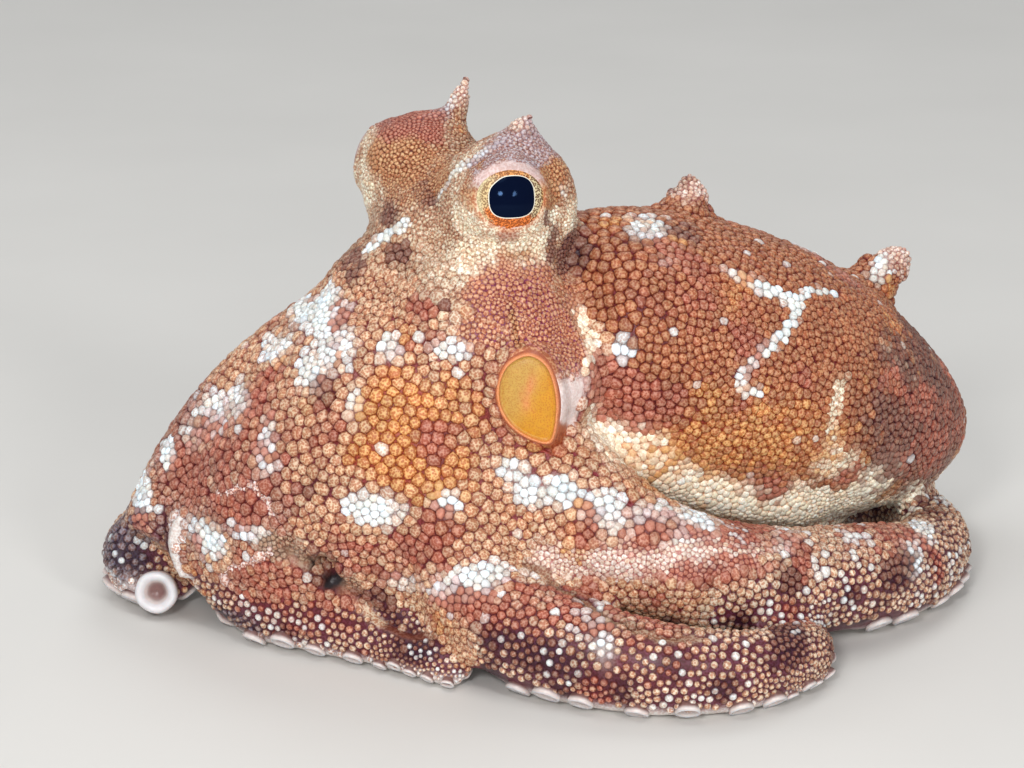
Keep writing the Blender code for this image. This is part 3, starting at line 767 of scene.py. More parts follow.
# lines of colour: kind, half width, strength, anchor and points, or the name of a fold
lines = [
    ("pale", 0.75, 1, "farEye", [(-4, -15, -8), (-2, -15.5, -6), (1, -18, -3.5)]),
    ("pale", 1.0, 1, "mantle", [(-4.5, -16, 16.5), (0, -15.5, 14), (4.5, -14, 11.5)]),
    ("pale", 0.75, 0.95, "mantle", [
        (4.5, -14, 11.5), (3.5, -17.5, 9), (1, -20, 7.5), (-2, -22.5, 5.5), (-3, -23.5, 3),
        (-1, -22.5, 1.5),
    ]),
    ("pale", 0.55, 0.85, "mantle", [(4.5, -14, 11.5), (7, -10.5, 12.5), (10, -7.5, 11.5)]),
    # a broad pale band in the rim colour, whose lightness is partly painted light
    ("rim", 3.9, 1, "arm3", [
        (-26.5, -3, 19), (-22.5, 1.5, 15), (-17.5, 5, 11), (-12, 8, 7.5), (-6.5, 10.5, 6),
        (-1, 14.5, 4.5), (4.5, 16.5, 4.5), (10, 16.5, 7),
    ]),
    ("rim", 1.3, 0.9, "funnel", [
        (1, 2, 9.5), (2, 1, 6), (3.5, -3, 1.5), (4, -1.5, -2.5), (3, 0, -6.5), (5.5, -2, -8.5),
    ]),
    ("margin", 1.1, 1, "curl", None),
    ("dark", 0.5, 0.8, "besideCurl", None),
    # painted shade: the pocket is darkened, its hole is painted near black, and a dark band runs along the
    # arm's shaded side beyond it
    ("dark", 2.1, 1, "pocket", None),
    ("holeShadow", 1.3, 1, "pocket", None),
    ("dark", 1.1, 0.8, "arm1", [(12, -12.5, 3.5), (15, -13, 1.5), (18, -15, 0.5)]),
    ("olive", 0.8, 0.8, "frontWeb", None),
    ("dark", 0.4, 0.7, "behindEye", None),
    ("cream", 1.0, 0.9, "mantle", [(17, -7, 4), (19, -6.5, 0.5), (24.5, -0.5, -4), (27, 4, -7.5)]),
    ("cream", 1.0, 0.85, "mantle", [(10.5, -16, 1.5), (9, -17, -5), (10, -14.5, -9), (14, -10.5, -12.5)]),
    ("dark", 0.4, 0.9, "web", [(1.5, -19, 22), (3.5, -20, 22.5), (4.5, -20.5, 22)]),
    ("dark", 0.4, 0.9, "web", [(7.5, -21.5, 21.5), (9, -21.5, 22), (10, -21.5, 22.5)]),
    ("rust", 0.5, 0.8, "aboveFunnel", None),
    ("pale", 0.6, 0.9, "eye", [(-8.5, 3, -1), (-6.5, 1.5, 2.5), (-3, 1, 5), (0, 2.5, 7.5)]),
    ("pale", 0.6, 0.7, "farEye", [(-4.5, -8, 5), (-2.5, -8, 7.5), (2, -6, 9.5), (6.5, -3.5, 10)]),
    ("mauve", 0.8, 0.8, "eye", [(-4.5, 1, 4), (0.5, -0.5, 5.5), (5.5, 0.5, 5.5)]),
    ("pale", 0.5, 0.6, "eye", [(6.5, -0.5, 2.5), (8, 1, 0.5)]),
    ("thread", 0.42, 1, "web", [
        (-25, -15, -4.5), (-23, -17.5, -3), (-20.5, -18.5, -2), (-18.5, -20, -3), (-17.5, -21, -5),
    ]),
    ("thread", 0.42, 1, "arm1", [
        (-5, -4.5, 1.5), (-3, -6, 4), (-0.5, -8, 5.5), (2, -9.5, 7.5),
    ]),
]

# the markings that each granule takes or leaves as a whole
drawn = (
    "brownAndShade", "olive", "violet", "mauve", "rust", "glow", "red", "blush", "dusk", "cream", "rim", "pale",
    "dark", "holeShadow", "slot", "margin", "thread",
)

# patches that no row names: kind, zone, strength, size and seed of a grain, weights of that grain, of
# the middling one and of the ragged edge, and the values where the patch begins and is whole
freePatches = [
    ("pale", "farSide", 1, 9.0, 21, 1, 0.6, 0.2, 0.62, 0.9),
    ("dark", "farSide", 0.9, 9.0, 21, -1, 0.7, 0, 0.6, 1.0),
    ("red", "farSide", 0.8, 11.0, 27, 1, 0.4, 0, 0.1, 0.6),
    ("cream", "farSide", 0.6, 13.0, 28, 1, 0.5, 0, 0.35, 0.8),
    ("glow", "body", 0.6, 12.0, 24, 0.5, 1, 0, 0.5, 0.9),
    ("red", "all", 0.7, 6.5, 25, 1, 0.3, 0, 0.25, 0.7),
    ("dark", "lowArms", 0.8, 3.2, 26, 1, 0, 0.3, 0.15, 0.6),
]

markShape = {
    "ragged": 0.4,  # how uneven the edges are, and how uneven the threads'
    "threadRagged": 0.12,
    "marginTop": (2.4, 1.0),
    "mantleBelly": (19.0, 11.0),
    "headFrom": (46, 50),
    "ownShare": (0.6, 0.35),  # how far single granules leave their zone, and how much less on the head
}


def nearSpot(points, middle, wide, tall, strength, rough):
    away = points - ground.tree.find_nearest(middle)[0]
    size = np.array([wide, max(wide, tall) + 3, tall])
    near = (np.abs(away) < 1.9 * size).all(axis=1)
    share = np.zeros(len(points))
    far = np.linalg.norm(away[near] / size, axis=1)
    share[near] = strength * ease(far + rough[near], 1.55, 0.6)
    return share


def nearLine(points, line, wide, rough):
    away, share = alongLine(points, laidOn(ground.tree, line), 2.2 * wide)
    return ease(away / wide + rough, 1.5, 0.7) * (ease(share, -0.01, 0.06) * 0.6 + 0.4)


def markingMasks(points, names):
    # how strongly each kind of marking shows at each point, in the order in which they are laid
    ragged = 0.6 * grain(points, 2.4, 11) + 0.5 * grain(points, 1.0, 12)
    middling = grain(points, 4.2, 22)
    x, y, z = points.T
    arm = np.char.startswith(names, "arm").astype(float)
    mantle = (names == "mantle").astype(float)
    masks = {kind: np.zeros(len(points)) for kind in palette}

    def add(kind, share):
        masks[kind] = np.maximum(masks[kind], share)

    add("mantle", mantle)
    add("web", (names == "web_and_crown") | (names == "funnel"))
    add("head", names == "head")
    add("arm", arm)
    for kind, places in spots.items():
        for anchor, rows in places.items():
            for dx, dy, dz, *shape in rows:
                middle = anchors[anchor] + (dx, dy, dz)
                add(kind, nearSpot(points, middle, *shape, markShape["ragged"] * ragged))
    for kind, wide, strength, anchor, line in lines:
        line = setOut(anchor, line) if line else foldLines[anchor]
        rough = markShape["threadRagged" if kind == "thread" else "ragged"] * ragged
        add(kind, strength * nearLine(points, line, wide, rough))
    lumps = headLumps(points) + 0.3 * ragged
    upper = masks["head"] * ease(z + 0.25 * x, *markShape["headFrom"])
    masks["cream"] *= 1 - 0.15 * upper * ease(-lumps, 0.1, 0.7)
    add("cream", 0.45 * upper * ease(lumps, 0.1, 0.6))
    add("rust", 0.6 * upper * ease(-lumps, 0.35, 0.9))
    everywhere = 1 - masks["head"] * ease(y, 0, -6)  # but the front of the head
    zones = {
        "farSide": ease(y, 0, 9),
        "all": everywhere,
        "body": everywhere * (1 - arm),
        "lowArms": arm * ease(z, 9.0, 4.0),
    }
    for kind, zone, strength, size, seed, own, mid, edge, start, end in freePatches:
        field = own * grain(points, size, seed) + mid * middling + edge * ragged
        add(kind, strength * zones[zone] * ease(field, start, end))
    # partly painted light: the lower part of the mantle takes the rim colour, lighter than its own cream
    # where its underside is shaded
    add("rim", 0.85 * ease(z + 1.5 * middling, *markShape["mantleBelly"]) * mantle)
    add("margin", ease(z, *markShape["marginTop"]) * (1 - mantle))
    for near in byPapillae(points, 6.5, 2.5, ragged):
        add("blush", 0.8 * near)
    for edge, turn, over in roundEyes(points):
        close = ease(over, 3, 1.5)
        high = np.sin(turn)
        rough = 0.25 * ragged
        add("lid", close * ease(high + rough, 0.1, 0.5) * ease(edge + rough, 1.3, 0.8))
        add("cream", 0.75 * close * ease(edge, 2.4, 1.0) * ease(high, 0.4, 0.0))
        add("ember", 0.5 * close * ease(edge + rough, 0.5, 0.0) * ease(high + rough, 0.3, -0.2))
    flat, rise, out = mouthView(points)
    beside = ease(flat[:, 0], 2.0, 3.0) * ease(flat[:, 1], 3.8, 0.8) * ease(flat[:, 1], -5.4, -3.8)
    add("tube", beside * ease(out, 5.2, 3.6) * ease(np.abs(rise), 6, 4.5))
    return masks


def asLinear(colour):
    value = np.array(colour, float) / 255
    return np.where(value < 0.04045, value / 12.92, ((value + 0.055) / 1.055) ** 2.4)


def layered(colours, base, layers):
    # lays each layer's colour over the ones before, by its share at each point
    colour = np.tile(asLinear(colours[base]), (len(layers[0][1]), 1))
    for name, share in layers:
        colour += (asLinear(colours[name]) - colour) * np.asarray(share, float)[:, None]
    return colour


def coatColour(masks, own):
    # own is each granule's place between its zone's darker and lighter colours; None for the skin
    if own is None:
        return layered({kind: dark for kind, (dark, _) in palette.items()}, "web", list(masks.items()))
    most, headLess = markShape["ownShare"]
    shares = dict(masks)
    for kind in drawn:
        leaving = (most - headLess * masks["head"]) * (own - 0.5)
        shares[kind] = ease(masks[kind] + leaving, 0.12, 0.82) * (masks[kind] > 0.02)
    return layered({kind: light for kind, (_, light) in palette.items()}, "web", list(shares.items()))


bareFolds = {"frontArm": 0.9, "frontWeb": 0.9, "curl": 1.15, "pocket": 2.1}  # half widths


def bareSkin(points, masks):
    # 1 where the skin has no granules: the lids, the mouth's rim, some folds and the edge on the floor
    bare = np.maximum(masks["tube"], masks["slot"])
    for edge, turn, over in roundEyes(points):
        wide = 0.7 + 0.35 * ease(np.sin(turn), 0.1, 0.5)
        bare = np.maximum(bare, ease(edge - wide, 0.4, 0) * ease(over, 3.4, 2))
    _, rise, out = mouthView(points)
    bare = np.maximum(bare, ease(out, 1.4, 0.9) * ease(np.abs(rise), 6, 4.5))
    for fold, wide in bareFolds.items():
        away, share = alongLine(points, laidOn(ground.tree, foldLines[fold]), 2 * wide)
        bare = np.maximum(bare, ease(away, wide, 0.6 * wide) * ease(share, 0, 0.1))
    return np.maximum(bare, ease(points[:, 2], 1.5, 0.8))


def asTriangles(name, points, triangles):
    mesh = bpy.data.meshes.new(name)
    mesh.vertices.add(len(points))
    mesh.vertices.foreach_set("co", (points * mm).astype(np.float32).ravel())
    mesh.loops.add(triangles.size)
    mesh.loops.foreach_set("vertex_index", triangles.astype(np.int32).ravel())
    mesh.polygons.add(len(triangles))
    mesh.polygons.foreach_set("loop_start", np.arange(0, triangles.size, 3, dtype=np.int32))
    mesh.update(calc_edges=True)
    return inScene(name, mesh)


def paint(mesh, colour, **numbers):
    # keeps the marking and other values on the mesh's points
    layer = mesh.color_attributes.new("marking", "FLOAT_COLOR", "POINT")
    layer.data.foreach_set("color", np.c_[colour, np.ones(len(colour))].astype(np.float32).ravel())
    for name, values in numbers.items():
        layer = mesh.attributes.new(name, "FLOAT", "POINT")
        layer.data.foreach_set("value", np.asarray(values, np.float32))


granuleShape = {
    "candidates": 7,  # tries for each place that is kept
    "rounds": 7,  # of pushing apart
    "spacing": 0.72,
    "push": 0.28,
    "wanted": 0.52,  # distance to a neighbour, as a share of the sum of their widths
    "furrow": -0.03,  # between neighbours; they overlap a little
    "sunk": 0.16,  # depth of their foot in the skin
    "seed": 5,
    "crevice": 1.1,  # none where another part of the skin lies closer than this
    "fine": 0.95,  # granules narrower than this are made in the small shape
    # share of the width, of the height, and of the rise in colour
    "large": {"around": 9, "rings": [(1.05, -1, 0), (1.0, 0.22, 0.3), (0.86, 0.6, 0.8), (0.52, 0.9, 1.0)]},
    "small": {"around": 6, "rings": [(1.05, -1, 0), (0.96, 0.38, 0.5), (0.6, 0.87, 0.97)]},
    "sharp": 12,  # how square the granules' corners are
}

# distance between granules: at most and at least in each zone, then at most where each of these lies
pitches = {
    "mantle": (1.55, 1.15),
    "web": (1.6, 1.2),
    "head": (1.2, 0.62),
    "arm": (1.25, 1.1),
    "tip": (0.9, 0.6),
}
finerPitches = {
    "pale": 1.1, "cream": 0.92, "rim": 0.98, "blush": 0.7, "violet": 0.66, "olive": 0.75, "thread": 0.5,
}
eyePitch = 0.45
papillaPitch = 0.72
clumping = {"head": 0.42, "elsewhere": 0.22, "size": 1.9}


def pitchAt(points, names, masks):
    x, y, z = points.T
    ragged = grain(points, 5, 31)
    head = names == "head"
    zones = {
        "mantle": (names == "mantle", ease(x - 0.5 * y + 4 * ragged, 34, 16) * ease(z, 14, 24)),
        "web": (
            (names == "web_and_crown") | (names == "funnel"),
            ease(z + 3 * ragged, 14, 24) * ease(z + 3 * ragged, 48, 38),
        ),
        "head": (head, ease(z + 0.3 * x + 2 * ragged, 51, 44)),
        "arm": (np.char.startswith(names, "arm"), ease(z, 4, 9)),
        "tip": (np.char.endswith(names, "_tip"), ease(z, 1.2, 4.5)),
    }
    pitch = np.empty(len(points))
    for zone, (inside, share) in zones.items():
        most, least = pitches[zone]
        pitch[inside] = (least + (most - least) * share)[inside]
    finer = [(ease(masks[kind], 0.3, 0.7), most) for kind, most in finerPitches.items()]
    for edge, _, over in roundEyes(points):
        finer.append((ease(edge, 4.0, 1.5) * (over < 4), eyePitch))
    finer += [(near, papillaPitch) for near in byPapillae(points, 8, 4)]
    for share, most in finer:
        pitch += (np.minimum(pitch, most) - pitch) * share
    clumps = np.where(head, clumping["head"], clumping["elsewhere"])
    return pitch * (1 + clumps * grain(points, clumping["size"], 32))


def isClear(place, gap, others):
    for x, y, z, other in others:
        apart = (gap + other) / 2
        if (x - place[0]) ** 2 + (y - place[1]) ** 2 + (z - place[2]) ** 2 < apart * apart:
            return False
    return True


def wellSpaced(points, gaps):
    # keeps those of the points that stand further from all kept ones than half the sum of their gaps
    size = float(gaps.max())
    cells = {}
    kept = []
    for i, (place, gap) in enumerate(zip(points.tolist(), gaps.tolist())):
        a, b, c = (int(value // size) for value in place)
        near = ((u, v, w) for u in (a - 1, a, a + 1) for v in (b - 1, b, b + 1) for w in (c - 1, c, c + 1))
        if all(isClear(place, gap, cells.get(cell, ())) for cell in near):
            cells.setdefault((a, b, c), []).append((*place, gap))
            kept.append(i)
    return np.array(kept)


def neighboursOf(points, count):
    # the nearest other points of each
    tree = KDTree(len(points))
    for i, place in enumerate(points.tolist()):
        tree.insert(place, i)
    tree.balance()
    found = np.empty((len(points), count), np.int32)
    for i, place in enumerate(points.tolist()):
        found[i] = [index for _, index, _ in tree.find_n(place, count + 1)[1:]]
    return found


class Ground:
    # the skin's surface: the nearest point on it to any place, with its smooth normal
    def __init__(self, mesh):
        self.points = pointsOf(mesh)
        self.normals = normalsOf(mesh)
        self.corners = cornersOf(mesh).reshape(-1, 3)
        self.areas = readAll(mesh.polygons, "area", 1, np.float32)[:, 0] / mm ** 2
        self.tree = BVHTree.FromPolygons(self.points.tolist(), self.corners.tolist())

    def nearest(self, places):
        found = [self.tree.find_nearest(place) for place in places.tolist()]
        spots = np.array([hit[0] for hit in found])
        faces = np.array([hit[2] for hit in found])
        return spots, unit(self.normals[self.corners[faces]].mean(axis=1)), faces

    def crowded(self, places, ways, reach):
        # true where another part of the skin stands within reach
        rays = zip((places + ways * 0.25).tolist(), ways.tolist())
        return np.array([self.tree.ray_cast(start, way, reach)[0] is not None for start, way in rays])


def drift(points):
    # a slow random shift, so that one part's skin runs into the next
    return 2.4 * np.stack([grain(points, 4.0, seed) for seed in (61, 62, 63)], axis=1)


def granuleRoots():
    # scatters places over the skin as thickly as they should stand, thins them and pushes them apart
    chance = np.random.default_rng(granuleShape["seed"])
    centres = ground.points[ground.corners].mean(axis=1)
    names = nodesAt(centres + drift(centres))
    masks = markingMasks(centres, names)
    pitch = pitchAt(centres, names, masks)
    bare = bareSkin(centres, masks)
    facing = unit(ground.normals[ground.corners].mean(axis=1))
    bare[(facing[:, 2] < -0.55) & (centres[:, 2] < 4)] = 1  # under the arms
    share = ground.areas / (0.866 * pitch ** 2) * (bare < 0.5)
    count = int(share.sum() * granuleShape["candidates"])
    faces = chance.choice(len(share), count, p=share / share.sum())
    u, v = chance.random((2, count))
    over = u + v > 1
    u[over], v[over] = 1 - u[over], 1 - v[over]
    a, b, c = (ground.points[ground.corners[faces, k]] for k in range(3))
    tries = a + (b - a) * u[:, None] + (c - a) * v[:, None]
    kept = wellSpaced(tries, pitch[faces] * granuleShape["spacing"])
    roots, gaps = tries[kept], pitch[faces][kept]
    print("granules kept:", len(roots), "of", count)
    for _ in range(granuleShape["rounds"]):
        near = neighboursOf(roots, 9)
        away = roots[:, None] - roots[near]
        reach = np.linalg.norm(away, axis=2)
        wanted = granuleShape["wanted"] * (gaps[:, None] + gaps[near])
        push = np.clip(wanted - reach, 0, None) / np.maximum(reach, 1e-6)
        step = (away * push[:, :, None]).sum(axis=1) * granuleShape["push"]
        roots, _, _ = ground.nearest(roots + step)
    roots, normals, faces = ground.nearest(roots)
    clear = ~ground.crowded(roots, normals, granuleShape["crevice"]) & (bare[faces] < 0.6)
    clear &= np.linalg.norm(roots - endCup["middle"], axis=1) > 1.1 * endCup["size"]
    return roots[clear], normals[clear], gaps[clear]


def granuleCells(roots, normals, gaps, around):
    # each granule's flat frame and its reach in each direction, up to its neighbours
    helper = np.where(np.abs(normals[:, 2:]) < 0.9, (0, 0, 1), (1, 0, 0))
    first = unit(np.cross(helper, normals))
    second = np.cross(normals, first)
    near = neighboursOf(roots, 12)
    away = roots[near] - roots[:, None]
    alike = (normals[near] * normals[:, None]).sum(axis=2) > 0.3
    x = (away * first[:, None]).sum(axis=2)
    y = (away * second[:, None]).sum(axis=2)
    reach = np.maximum(np.hypot(x, y), 1e-6)
    mine, theirs = gaps[:, None] / 2, gaps[near] / 2
    border = (reach ** 2 + mine ** 2 - theirs ** 2) / (2 * reach)
    border = np.clip(border - granuleShape["furrow"], 0.2 * mine, 9)
    border[~alike] = 9
    turn = turnsRound(around)
    ways = np.stack([np.cos(turn), np.sin(turn)], axis=1)
    along = (x[:, None] * ways[None, :, :1] + y[:, None] * ways[None, :, 1:]) / reach[:, None]
    pull = np.clip(along, 0, None) / border[:, None]
    sharp = granuleShape["sharp"]
    most = 0.8 * gaps[:, None]
    radius = (np.power(pull, sharp).sum(axis=2) + (1 / most) ** sharp) ** (-1 / sharp)
    return first, second, ways, radius


def granuleMesh(name, roots, normals, cells, height, shape):
    first, second, ways, radius = cells
    around = len(ways)
    count = len(roots)
    spread = first[:, None] * ways[None, :, :1] + second[:, None] * ways[None, :, 1:]
    rings = []
    for wide, tall, _ in shape["rings"]:
        flat = radius[:, :, None] * wide
        level = np.where(tall < 0, -granuleShape["sunk"], height * tall)
        rings.append(roots[:, None] + spread * flat + (normals * level[:, None])[:, None])
    top = (roots + normals * height[:, None])[:, None]
    points = np.concatenate(rings + [top], axis=1).reshape(-1, 3)
    each = around * len(rings) + 1
    faces = []
    for a, b, c, d in stripFaces(len(rings), around):
        faces += [(a, d, c), (a, c, b)]
    last = (len(rings) - 1) * around
    faces += [(last + i, last + (i + 1) % around, each - 1) for i in range(around)]
    triangles = (np.array(faces)[None] + (np.arange(count) * each)[:, None, None]).reshape(-1, 3)
    rise = np.tile(np.repeat([ring[2] for ring in shape["rings"]], around).tolist() + [1.0], count)
    return asTriangles(name, points, triangles), rise, each


lidShape = {
    "around": 128,
    # distance outside the opening and height over the ball
    "profile": [
        (-0.6, -0.3), (-0.25, 0.0), (-0.08, 0.12), (0.1, 0.19), (0.4, 0.22), (0.75, 0.26), (1.1, 0.28),
        (1.5, 0.26), (1.9, 0.16), (2.2, 0.02),
    ],
    "wrinkle": 0.03,
    "wrinkles": 52,
}


def lidPiece(side):
    # the lid's lip, finely wrinkled on its upper half
    eye = eyes[side]
    turn = turnsRound(lidShape["around"])
    flat = waysRound(turn, eye["across"], eye["up"])
    comb = lidShape["wrinkle"] * ease(np.sin(turn), 0, 0.6) * np.sin(lidShape["wrinkles"] * turn)
    rings = []
    for out, height in lidShape["profile"]:
        off = openingAngle(turn) + out / eye["radius"]
        way = np.cos(off)[:, None] * eye["gaze"] + np.sin(off)[:, None] * flat
        rings.append(eye["centre"] + way * (eye["radius"] + height + comb * (0.1 < out < 1.4))[:, None])
    return ringObject("lid_" + side, rings)


mouthShape = {
    "around": 96,
    # share of the outline, distance added outside it, and height
    "profile": [
        (0.0, 0, -0.2), (0.2, 0, -0.2), (0.4, 0, -0.24), (0.6, 0, -0.32), (0.78, 0, -0.38),
        (0.9, 0, -0.48), (0.97, 0, -0.58), (1, -0.01, -0.3), (1, 0.03, 0.0), (1, 0.1, 0.1), (1, 0.2, 0.08),
        (1, 0.32, -0.06), (1, 0.5, -0.4), (1, 0.75, -0.95),
    ],
    "slit": [(0.5, 2.4), (0.35, 1.2), (-0.2, 0.2), (-0.1, -1.2)],
    "slitDeep": 0.14,
    "slitWide": 0.35,
}


def mouthPiece():
    # the funnel's mouth: a full membrane with a slit, in a groove inside a thin rim
    turn = turnsRound(mouthShape["around"])
    edge = np.arctan2(mouthOutline[:, 1], mouthOutline[:, 0])
    order = np.argsort(edge)
    reach = np.interp(turn, edge[order], np.linalg.norm(mouthOutline[order], axis=1), period=2 * math.pi)
    rings, height = [], []
    for share, out, tall in mouthShape["profile"]:
        far = reach * share + out
        rings.append(np.stack([np.cos(turn) * far, np.sin(turn) * far], axis=1))
        height.append(np.full(len(turn), tall))
    flat = np.vstack(rings)
    height = np.concatenate(height)
    away, _ = alongLine(flat, flowing(mouthShape["slit"], 6))
    height = height - mouthShape["slitDeep"] * np.exp(-(away / mouthShape["slitWide"]) ** 2)
    points = funnelMouth["middle"] + flat[:, :1] * mouthAcross + flat[:, 1:] * mouthUp
    points = points + height[:, None] * funnelMouth["facing"]
    return meshObject("funnel_mouth", points, stripFaces(len(rings), len(turn))), flat, away


suckerShape = {
    "gap": 3.7,
    "level": 1.25,
    "around": 14,
    "droop": 1.0,
    "out": 0.5,
    "room": 2.2,
    "size": {"inner": 1.75, "middle": 1.5, "tip": 0.95},
    # share of the size outwards and upwards
    "profile": [
        (0.7, -1.0), (0.98, -0.35), (1.05, -0.02), (0.95, 0.14), (0.8, 0.06), (0.62, -0.2), (0.4, -0.36),
        (0.02, -0.4),
    ],
    "lobes": 0.05,
}

# the large round sucker at the left end
endCup = {
    "middle": anchors["farArm"] + (0.8, -12.6, -3.4),
    "facing": (-0.05, -0.97, 0.18),
    "size": 2.6,
    "around": 48,
    "lobes": 0.015,
    "profile": [
        (0.9, -1.1), (1.06, -0.5), (1.1, -0.05), (1.03, 0.2), (0.88, 0.3), (0.7, 0.2), (0.56, -0.02),
        (0.45, -0.25), (0.3, -0.38), (0.02, -0.42),
    ],
}


def suckerPlaces():
    # along the arms' edges, just over the floor
    chance = np.random.default_rng(8)
    low = np.abs(ground.points[:, 2] - suckerShape["level"]) < 0.45
    picked = low & (np.abs(ground.normals[:, 2]) < 0.75) & np.char.startswith(skinNames, "arm")
    index = chance.permutation(np.nonzero(picked)[0])
    size = np.array([suckerShape["size"][name.split("_")[-1]] for name in skinNames[index]])
    kept = wellSpaced(ground.points[index], suckerShape["gap"] * size / suckerShape["size"]["middle"])
    places, level, size = ground.points[index][kept], ground.normals[index][kept] * (1, 1, 0), size[kept]
    facing = unit(level - (0, 0, suckerShape["droop"]))
    places = places + unit(level) * suckerShape["out"]
    clear = ~ground.crowded(places, unit(level), suckerShape["room"])
    return places[clear], facing[clear], size[clear]


def cupRings(place, way, size, shape, chance):
    # one sucker's points and how deep each lies in it
    first = unit(np.cross(way, (0.1, 0.2, 1)))
    turn = turnsRound(shape["around"])
    wavy = 1 + shape["lobes"] * np.sin(5 * turn + chance.random() * 6)
    size = size * (0.9 + 0.2 * chance.random())
    flat = waysRound(turn, first, np.cross(first, way)) * wavy[:, None]
    rings = [place + flat * wide * size + way * tall * size for wide, tall in shape["profile"]]
    return np.vstack(rings), np.repeat([tall for _, tall in shape["profile"]], len(turn))


def suckerPiece():
    chance = np.random.default_rng(9)
    cups = [(*each, suckerShape) for each in zip(*suckerPlaces())]
    cups.append((endCup["middle"], unit(endCup["facing"]), endCup["size"], endCup))
    points, faces, depth, start = [], [], [], 0
    for place, way, size, shape in cups:
        made, deep = cupRings(place, way, size, shape, chance)
        strip = stripFaces(len(shape["profile"]), shape["around"])
        faces += [tuple(start + corner for corner in face) for face in strip]
        points.append(made)
        depth.append(deep)
        start += len(made)
    print("suckers:", len(cups))
    points = np.vstack(points)
    points[:, 2] = np.maximum(points[:, 2], skinShape["lowest"])
    return meshObject("suckers", points, faces), np.concatenate(depth)


# the patch is each granule's width on the map
unwrapShape = {"faces": 5000, "angle": 66, "margin": 0.006, "patch": 0.00291}


class Unwrap:
    # a coarse copy of the skin laid out flat, which gives every place its spot on the map
    def __init__(self, skin):
        coarse = inScene("coarse", skin.data.copy())
        fewer = coarse.modifiers.new("fewer", "DECIMATE")
        fewer.ratio = unwrapShape["faces"] / len(skin.data.polygons)
        coarse = applied(coarse)
        chosen(coarse)
        bpy.ops.object.mode_set(mode="EDIT")
        bpy.ops.mesh.select_all(action="SELECT")
        bpy.ops.mesh.quads_convert_to_tris()
        steepest = math.radians(unwrapShape["angle"])
        bpy.ops.uv.smart_project(angle_limit=steepest, island_margin=unwrapShape["margin"])
        bpy.ops.object.mode_set(mode="OBJECT")
        mesh = coarse.data
        points = pointsOf(mesh)
        corners = cornersOf(mesh).reshape(-1, 3)
        flat = readAll(mesh.uv_layers.active.data, "uv", 2, np.float32).reshape(-1, 3, 2).astype(float)
        a, b, c = (points[corners[:, k]] for k in range(3))
        self.start, self.flatStart = a, flat[:, 0]
        self.sides = np.stack([b - a, c - a], axis=1)
        self.flatSides = flat[:, 1:] - flat[:, :1]
        self.tree = BVHTree.FromPolygons(points.tolist(), corners.tolist())
        bpy.data.objects.remove(coarse)

    def faceAt(self, places):
        return np.array([self.tree.find_nearest(place)[2] for place in places.tolist()])

    def spot(self, places, face):
        # the place in the face's own two sides, also a little outside it
        side = self.sides[face]
        away = places - self.start[face]
        aa, bb = (side[:, 0] ** 2).sum(axis=1), (side[:, 1] ** 2).sum(axis=1)
        ab = (side[:, 0] * side[:, 1]).sum(axis=1)
        pa, pb = (side[:, 0] * away).sum(axis=1), (side[:, 1] * away).sum(axis=1)
        whole = np.maximum(aa * bb - ab ** 2, 1e-9)
        u = np.clip((bb * pa - ab * pb) / whole, -0.2, 1.2)
        v = np.clip((aa * pb - ab * pa) / whole, -0.2, 1.2)
        flat = self.flatSides[face]
        return self.flatStart[face] + flat[:, 0] * u[:, None] + flat[:, 1] * v[:, None]


def setBakeMap(mesh, spots):
    layer = mesh.uv_layers.new(name="OFBake")
    layer.data.foreach_set("uv", np.clip(spots, 0.001, 0.999).astype(np.float32).ravel())


def mapSkin():
    places = ground.points[ground.corners]
    face = unwrap.faceAt(places.mean(axis=1))
    setBakeMap(skin.data, unwrap.spot(places.reshape(-1, 3), np.repeat(face, 3)))


eyeBall = {
    "around": 120,
    "pupilPower": 2.9,
    "pupilCut": 0.12,  # flattens the pupil's upper front corner
    "ringWide": 0.11,
    "hidden": 0.35,  # how far the iris runs on under the lids
    "pupilRings": (0.002, 0.25, 0.5, 0.75, 0.92, 0.985),
    "irisRings": 22,
    "backRings": 14,
    "colours": {
        "pupil": (6, 12, 32), "ring": (226, 222, 208), "cream": (216, 200, 158), "gold": (214, 158, 84),
        "orange": (214, 150, 92), "ember": (222, 124, 62), "outside": (190, 130, 90),
        "sparkle": (236, 230, 224),
    },
}


def pupilReach(turn, mirror):
    # half width of the pupil in each direction: a rounded square with one corner cut
    x, y = np.cos(turn), np.sin(turn)
    wide, tall, power = eyeShape["pupilWide"] / 2, eyeShape["pupilTall"] / 2, eyeBall["pupilPower"]
    reach = (np.abs(x / wide) ** power + np.abs(y / tall) ** power) ** (-1 / power)
    fromCorner = np.angle(np.exp(1j * (turn - (math.pi / 2 + mirror * 0.8))))
    return reach * (1 - eyeBall["pupilCut"] * np.exp(-(fromCorner / 0.42) ** 2))


